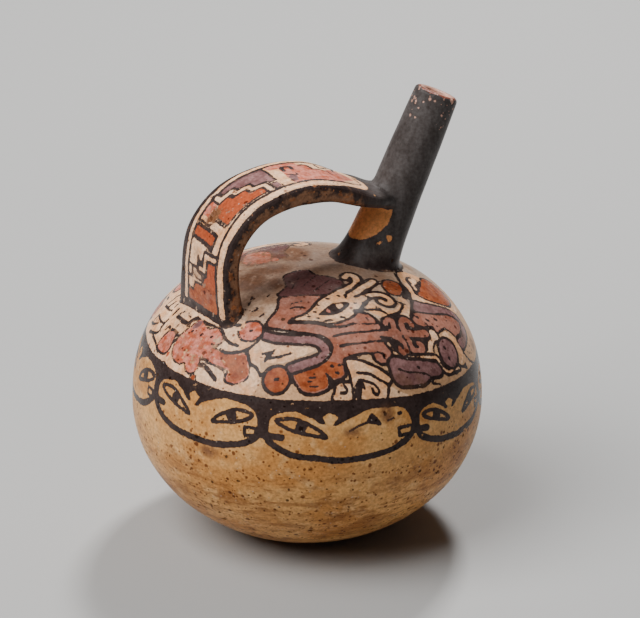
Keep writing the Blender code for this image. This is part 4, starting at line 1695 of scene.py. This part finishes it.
# Ragged brush edges, and slip rubbed through to what is under it
fine_edge = cloud(0.8)
broad_edge = cloud(2.6, seed=3.0)
ragged = add(fine_edge, broad_edge)
ragged = subtract(ragged, 1.0)
ragged = times(ragged, 1.1)
wear_cloud = cloud(3.2, seed=7.0)
crisp_rub = least(rub, 0.5)
wear_level = multiply_add(crisp_rub, 0.24, -0.675)
worn = ease(add(wear_cloud, wear_level), -0.02, 0.05)
worn = times(worn, off_spout)
flecks = pitted(1.7, times(crisp_rub, 0.55), 7.0)
worn = most(worn, flecks)
lip_flecks = times(crisp_rub, by_height(0.158, 0.161))
for size, share, seed in LIP_FLECKS:
    worn = most(worn, pitted(size, times(lip_flecks, share), seed))
rub_cloud = patch(3.6, 0.25, 0.75, seed=41.0)
thinned = ease(add(rub, rub_cloud), 0.85, 1.55)
thinned = times(thinned, off_spout)

# The clay itself, from the greyed shoulder to the buff underside
on_buff = ease(outside["buff"], 0.6, -0.6)
shoulder = blend(patch(9.0, 0.42, 0.62), SHOULDER_CLAY, SHOULDER_DIRT)
shoulder = blend(patch(22.0, 0.45, 0.65, seed=2.0), shoulder, SHOULDER_GREY)
# Painted shade: the ground on the top of the crown, under the strap, made darker
crown_shade_share = times(by_height(0.1085, 0.1125), 0.7)
shoulder = blend(crown_shade_share, shoulder, CROWN_SHADE)
shoulder = blend(by_height(0.104, 0.092), shoulder, BELT_CLAY)
buff = blend(patch(26.0, 0.4, 0.62, 1.8, 4.0), BUFF_CLAY, DARK_BUFF)
buff = blend(patch(6.0, 0.5, 0.72, seed=5.0), buff, PALE_BUFF)
bare = blend(patch(5.0, 0.4, 0.62, seed=6.0), BARE_CLAY, DARK_BARE)
# Painted light: the bare clay on the spout, chiefly the patch under the strap, made lighter
bare = blend(on_buff, bare, LIT_SPOUT_CLAY)
bare = blend(by_height(0.154, 0.162), bare, LIP_CLAY)
on_bare = ease(add(outside["bare"], ragged), 0.15, -0.15)
colour = blend(on_buff, shoulder, buff)
colour = blend(on_bare, colour, bare)

# Brown stains, strongest low on the body, and brown patches of painted shade under the strap
low = by_height(0.078, 0.042)
streaky = by_height(0.068, 0.036)
streaks = times(patch(17.0, 0.47, 0.60, 3.0, 8.0), streaky)
colour = blend(times(streaks, 0.6), colour, STREAK)
streaks = times(patch(6.0, 0.51, 0.62, 4.0, 19.0), streaky)
colour = blend(times(streaks, 0.6), colour, FINE_STREAK)
# Brown patches where the mesh marks them: stains, and painted shade under the strap
stain_and_shade_spots = ease(outside["stain_and_shade"], 2.5, -2.0)
stain_and_shade_spots = times(stain_and_shade_spots, patch(3.0, 0.31, 0.5, seed=9.0))
colour = blend(times(stain_and_shade_spots, 0.8), colour, STAIN_AND_SHADE)

# The slips, lightest first
SLIP_COLOURS = {
    "pink": ((0.68, 0.24, 0.17), (0.48, 0.10, 0.045), 2.6, 0.9),
    "orange": ((0.42, 0.118, 0.046), (0.29, 0.064, 0.023), 3.5, 0.8),
    "red": ((0.43, 0.185, 0.13), (0.32, 0.112, 0.068), 6.0, 0.6),
    "maroon": ((0.30, 0.155, 0.146), (0.18, 0.083, 0.079), 5.0, 0.6),
    "cream": ((0.96, 0.61, 0.37), (0.86, 0.43, 0.20), 7.0, 0.7),
    "black": ((0.050, 0.033, 0.030), (0.034, 0.022, 0.020), 7.0, 0.85),
}
cover = None
for slip, (light, dark, size, give) in SLIP_COLOURS.items():
    shade = blend(patch(size, 0.4, 0.62, seed=11.0), light, dark)
    if slip == "black":
        streaked = blend(patch(5.0, 0.4, 0.62, 0.3, 12.0), SPOUT_BLACK, DARK_SPOUT_BLACK)
        shade = blend(on_spout, shade, streaked)
        shade = blend(thinned, shade, THINNED_BLACK)
    if slip == "maroon":
        thick = times(by_height(0.106, 0.110), by_height(0.122, 0.118))
        shade = blend(thick, shade, THICK_MAROON)
    if slip == "pink":
        shade = blend(by_height(0.166, 0.170), shade, LIP_PINK)
    if slip == "orange":
        shade = blend(by_height(0.115, 0.118), shade, STRAP_ORANGE)
    layer = add_node(tree, "ShaderNodeGroup", {
        "Under": colour, "Slip": shade, "Outside": outside[slip], "Ragged": ragged,
        "Worn": times(worn, give),
    }, node_tree=brushed)
    colour = layer.outputs["Color"]
    covered = layer.outputs["Cover"]
    cover = covered if cover is None else most(cover, covered)

# The same brown patches over the slips: stains, and painted shade under the strap
colour = blend(times(stain_and_shade_spots, 0.5), colour, STAIN_AND_SHADE_ON_SLIP)
mottle = patch(1.3, 0.3, 0.7, seed=31.0)
colour = blend(1.0, colour, blend(mottle, MOTTLE_DARK, MOTTLE_LIGHT), "MULTIPLY")

# A grey film on the top of the shoulder, partly real and partly painted sheen, dark pits with
# dirt in them, and small dark and pale specks
film_and_sheen = times(patch(11.0, 0.45, 0.7, seed=13.0), by_height(0.09, 0.11))
film_and_sheen = times(film_and_sheen, by_height(0.125, 0.115))
colour = blend(times(film_and_sheen, 0.28), colour, GREY_FILM_AND_SHEEN)
pit_zone = patch(24.0, 0.32, 0.56, seed=15.0)
pit_share = times(pit_zone, multiply_add(low, 0.13, 0.025))
pit_share = times(pit_share, off_spout)
big_pits = pitted(3.2, pit_share, 1.0)
small_pits = pitted(1.7, times(pit_share, 1.2), 2.0)
holes = most(big_pits, small_pits)
swarm = patch(17.0, 0.45, 0.57, 1.6, 22.0)
swarm = multiply_add(swarm, add(low, 0.16), 0.07)
swarm = times(swarm, off_spout)
freckles = most(pitted(2.1, swarm, 21.0), pitted(3.6, swarm, 23.0))
colour = blend(times(freckles, 0.9), colour, FRECKLE, "MULTIPLY")
colour = blend(times(holes, 0.85), colour, PIT_DIRT)
pale = times(pitted(1.3, 0.05, 5.0), 0.5)
pale = times(pale, off_spout)
colour = blend(pale, colour, PALE_SPECK)

# Sheen, and the relief of brush strokes, scraping, grain and pits
gloss = blend(cover, even(CLAY_ROUGHNESS), even(SLIP_ROUGHNESS))
gloss = blend(on_bare, gloss, even(BARE_ROUGHNESS))
gloss = blend(by_height(0.116, 0.124), gloss, even(SPOUT_ROUGHNESS))
gloss = blend(patch(6.0, 0.42, 0.74, seed=17.0), gloss, even(DULL_ROUGHNESS))
gloss = blend(holes, gloss, even(PIT_ROUGHNESS))
relief = times(cover, 0.03)
for size, depth, flatness in GRAIN:
    grain = times(cloud(size, flatness), depth)
    relief = add(relief, grain)
relief = subtract(relief, times(holes, 0.3))
bump = add_node(tree, "ShaderNodeBump", {"Height": relief, "Distance": MM, "Strength": 1.0})
shader = add_node(tree, "ShaderNodeBsdfPrincipled", {
    "Base Color": colour, "Roughness": gloss, "Normal": bump.outputs["Normal"], "Metallic": 0.0,
    "Specular IOR Level": 0.1})
add_node(tree, "ShaderNodeOutputMaterial", {"Surface": shader.outputs["BSDF"]})

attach(jug, "root")
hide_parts("jug_lower_half", "jug_upper_half")


# ---------------------------------------------------------------------------
# The floor, the light and the camera.
# ---------------------------------------------------------------------------
FLOOR_SIZE = 6.0
PAPER_COLOUR = (0.42, 0.415, 0.405, 1)
PAPER_ROUGHNESS = 0.8
DAYLIGHT = (0.9, 0.92, 1.0, 1)
DAYLIGHT_STRENGTH = 0.05
bpy.ops.mesh.primitive_plane_add(size=FLOOR_SIZE)
floor = bpy.context.object
floor.name = "floor"
paper = bpy.data.materials.new("pale_paper")
paper.use_nodes = True
surface = paper.node_tree.nodes["Principled BSDF"].inputs
surface["Base Color"].default_value = PAPER_COLOUR
surface["Roughness"].default_value = PAPER_ROUGHNESS
floor.data.materials.append(paper)
floor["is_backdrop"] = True

VIEW_AZIMUTH = math.radians(-28.4)
VIEW_ELEVATION = math.radians(23.5)
VIEW_DISTANCE = 2.0
VIEW_DEPTH = 20.0
VIEW_AIM_RIGHT = 0.0053
VIEW_AIM_UP = 0.0354
LENS = 270.8
SENSOR = 36.0
back = Vector((math.sin(VIEW_AZIMUTH) * math.cos(VIEW_ELEVATION),
               -math.cos(VIEW_AZIMUTH) * math.cos(VIEW_ELEVATION), math.sin(VIEW_ELEVATION)))
right = Vector((math.cos(VIEW_AZIMUTH), math.sin(VIEW_AZIMUTH), 0.0))
up = back.cross(right)
camera_data = bpy.data.cameras.new("camera")
camera_data.lens = LENS
camera_data.sensor_width = SENSOR
camera_data.clip_end = VIEW_DEPTH
camera = add_object("camera", camera_data)
aim = Vector((0.0, 0.0, BELLY_HEIGHT)) + right * VIEW_AIM_RIGHT + up * VIEW_AIM_UP
camera.location = aim + back * VIEW_DISTANCE
camera.rotation_euler = back.to_track_quat("Z", "Y").to_euler()
bpy.context.scene.camera = camera


def softbox(name, offset, size, power):
    data = bpy.data.lights.new(name, "AREA")
    data.shape = "RECTANGLE"
    data.size = size
    data.size_y = size
    data.energy = power
    lamp = add_object(name, data)
    lamp.location = aim + Vector(offset)
    lamp.rotation_euler = Vector(offset).to_track_quat("Z", "Y").to_euler()


softbox("key_light", right * -1.3 + up * 1.4 + back * 1.4, size=1.9, power=90)
softbox("top_light", right * 0.28 + up * 1.4 + back * -0.42, size=0.22, power=25)
world = bpy.data.worlds.new("studio")
world.use_nodes = True
sky = world.node_tree.nodes["Background"].inputs
sky["Color"].default_value = DAYLIGHT
sky["Strength"].default_value = DAYLIGHT_STRENGTH
bpy.context.scene.world = world

[[list(corner) for corner in box] for box in (cad_box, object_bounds())]
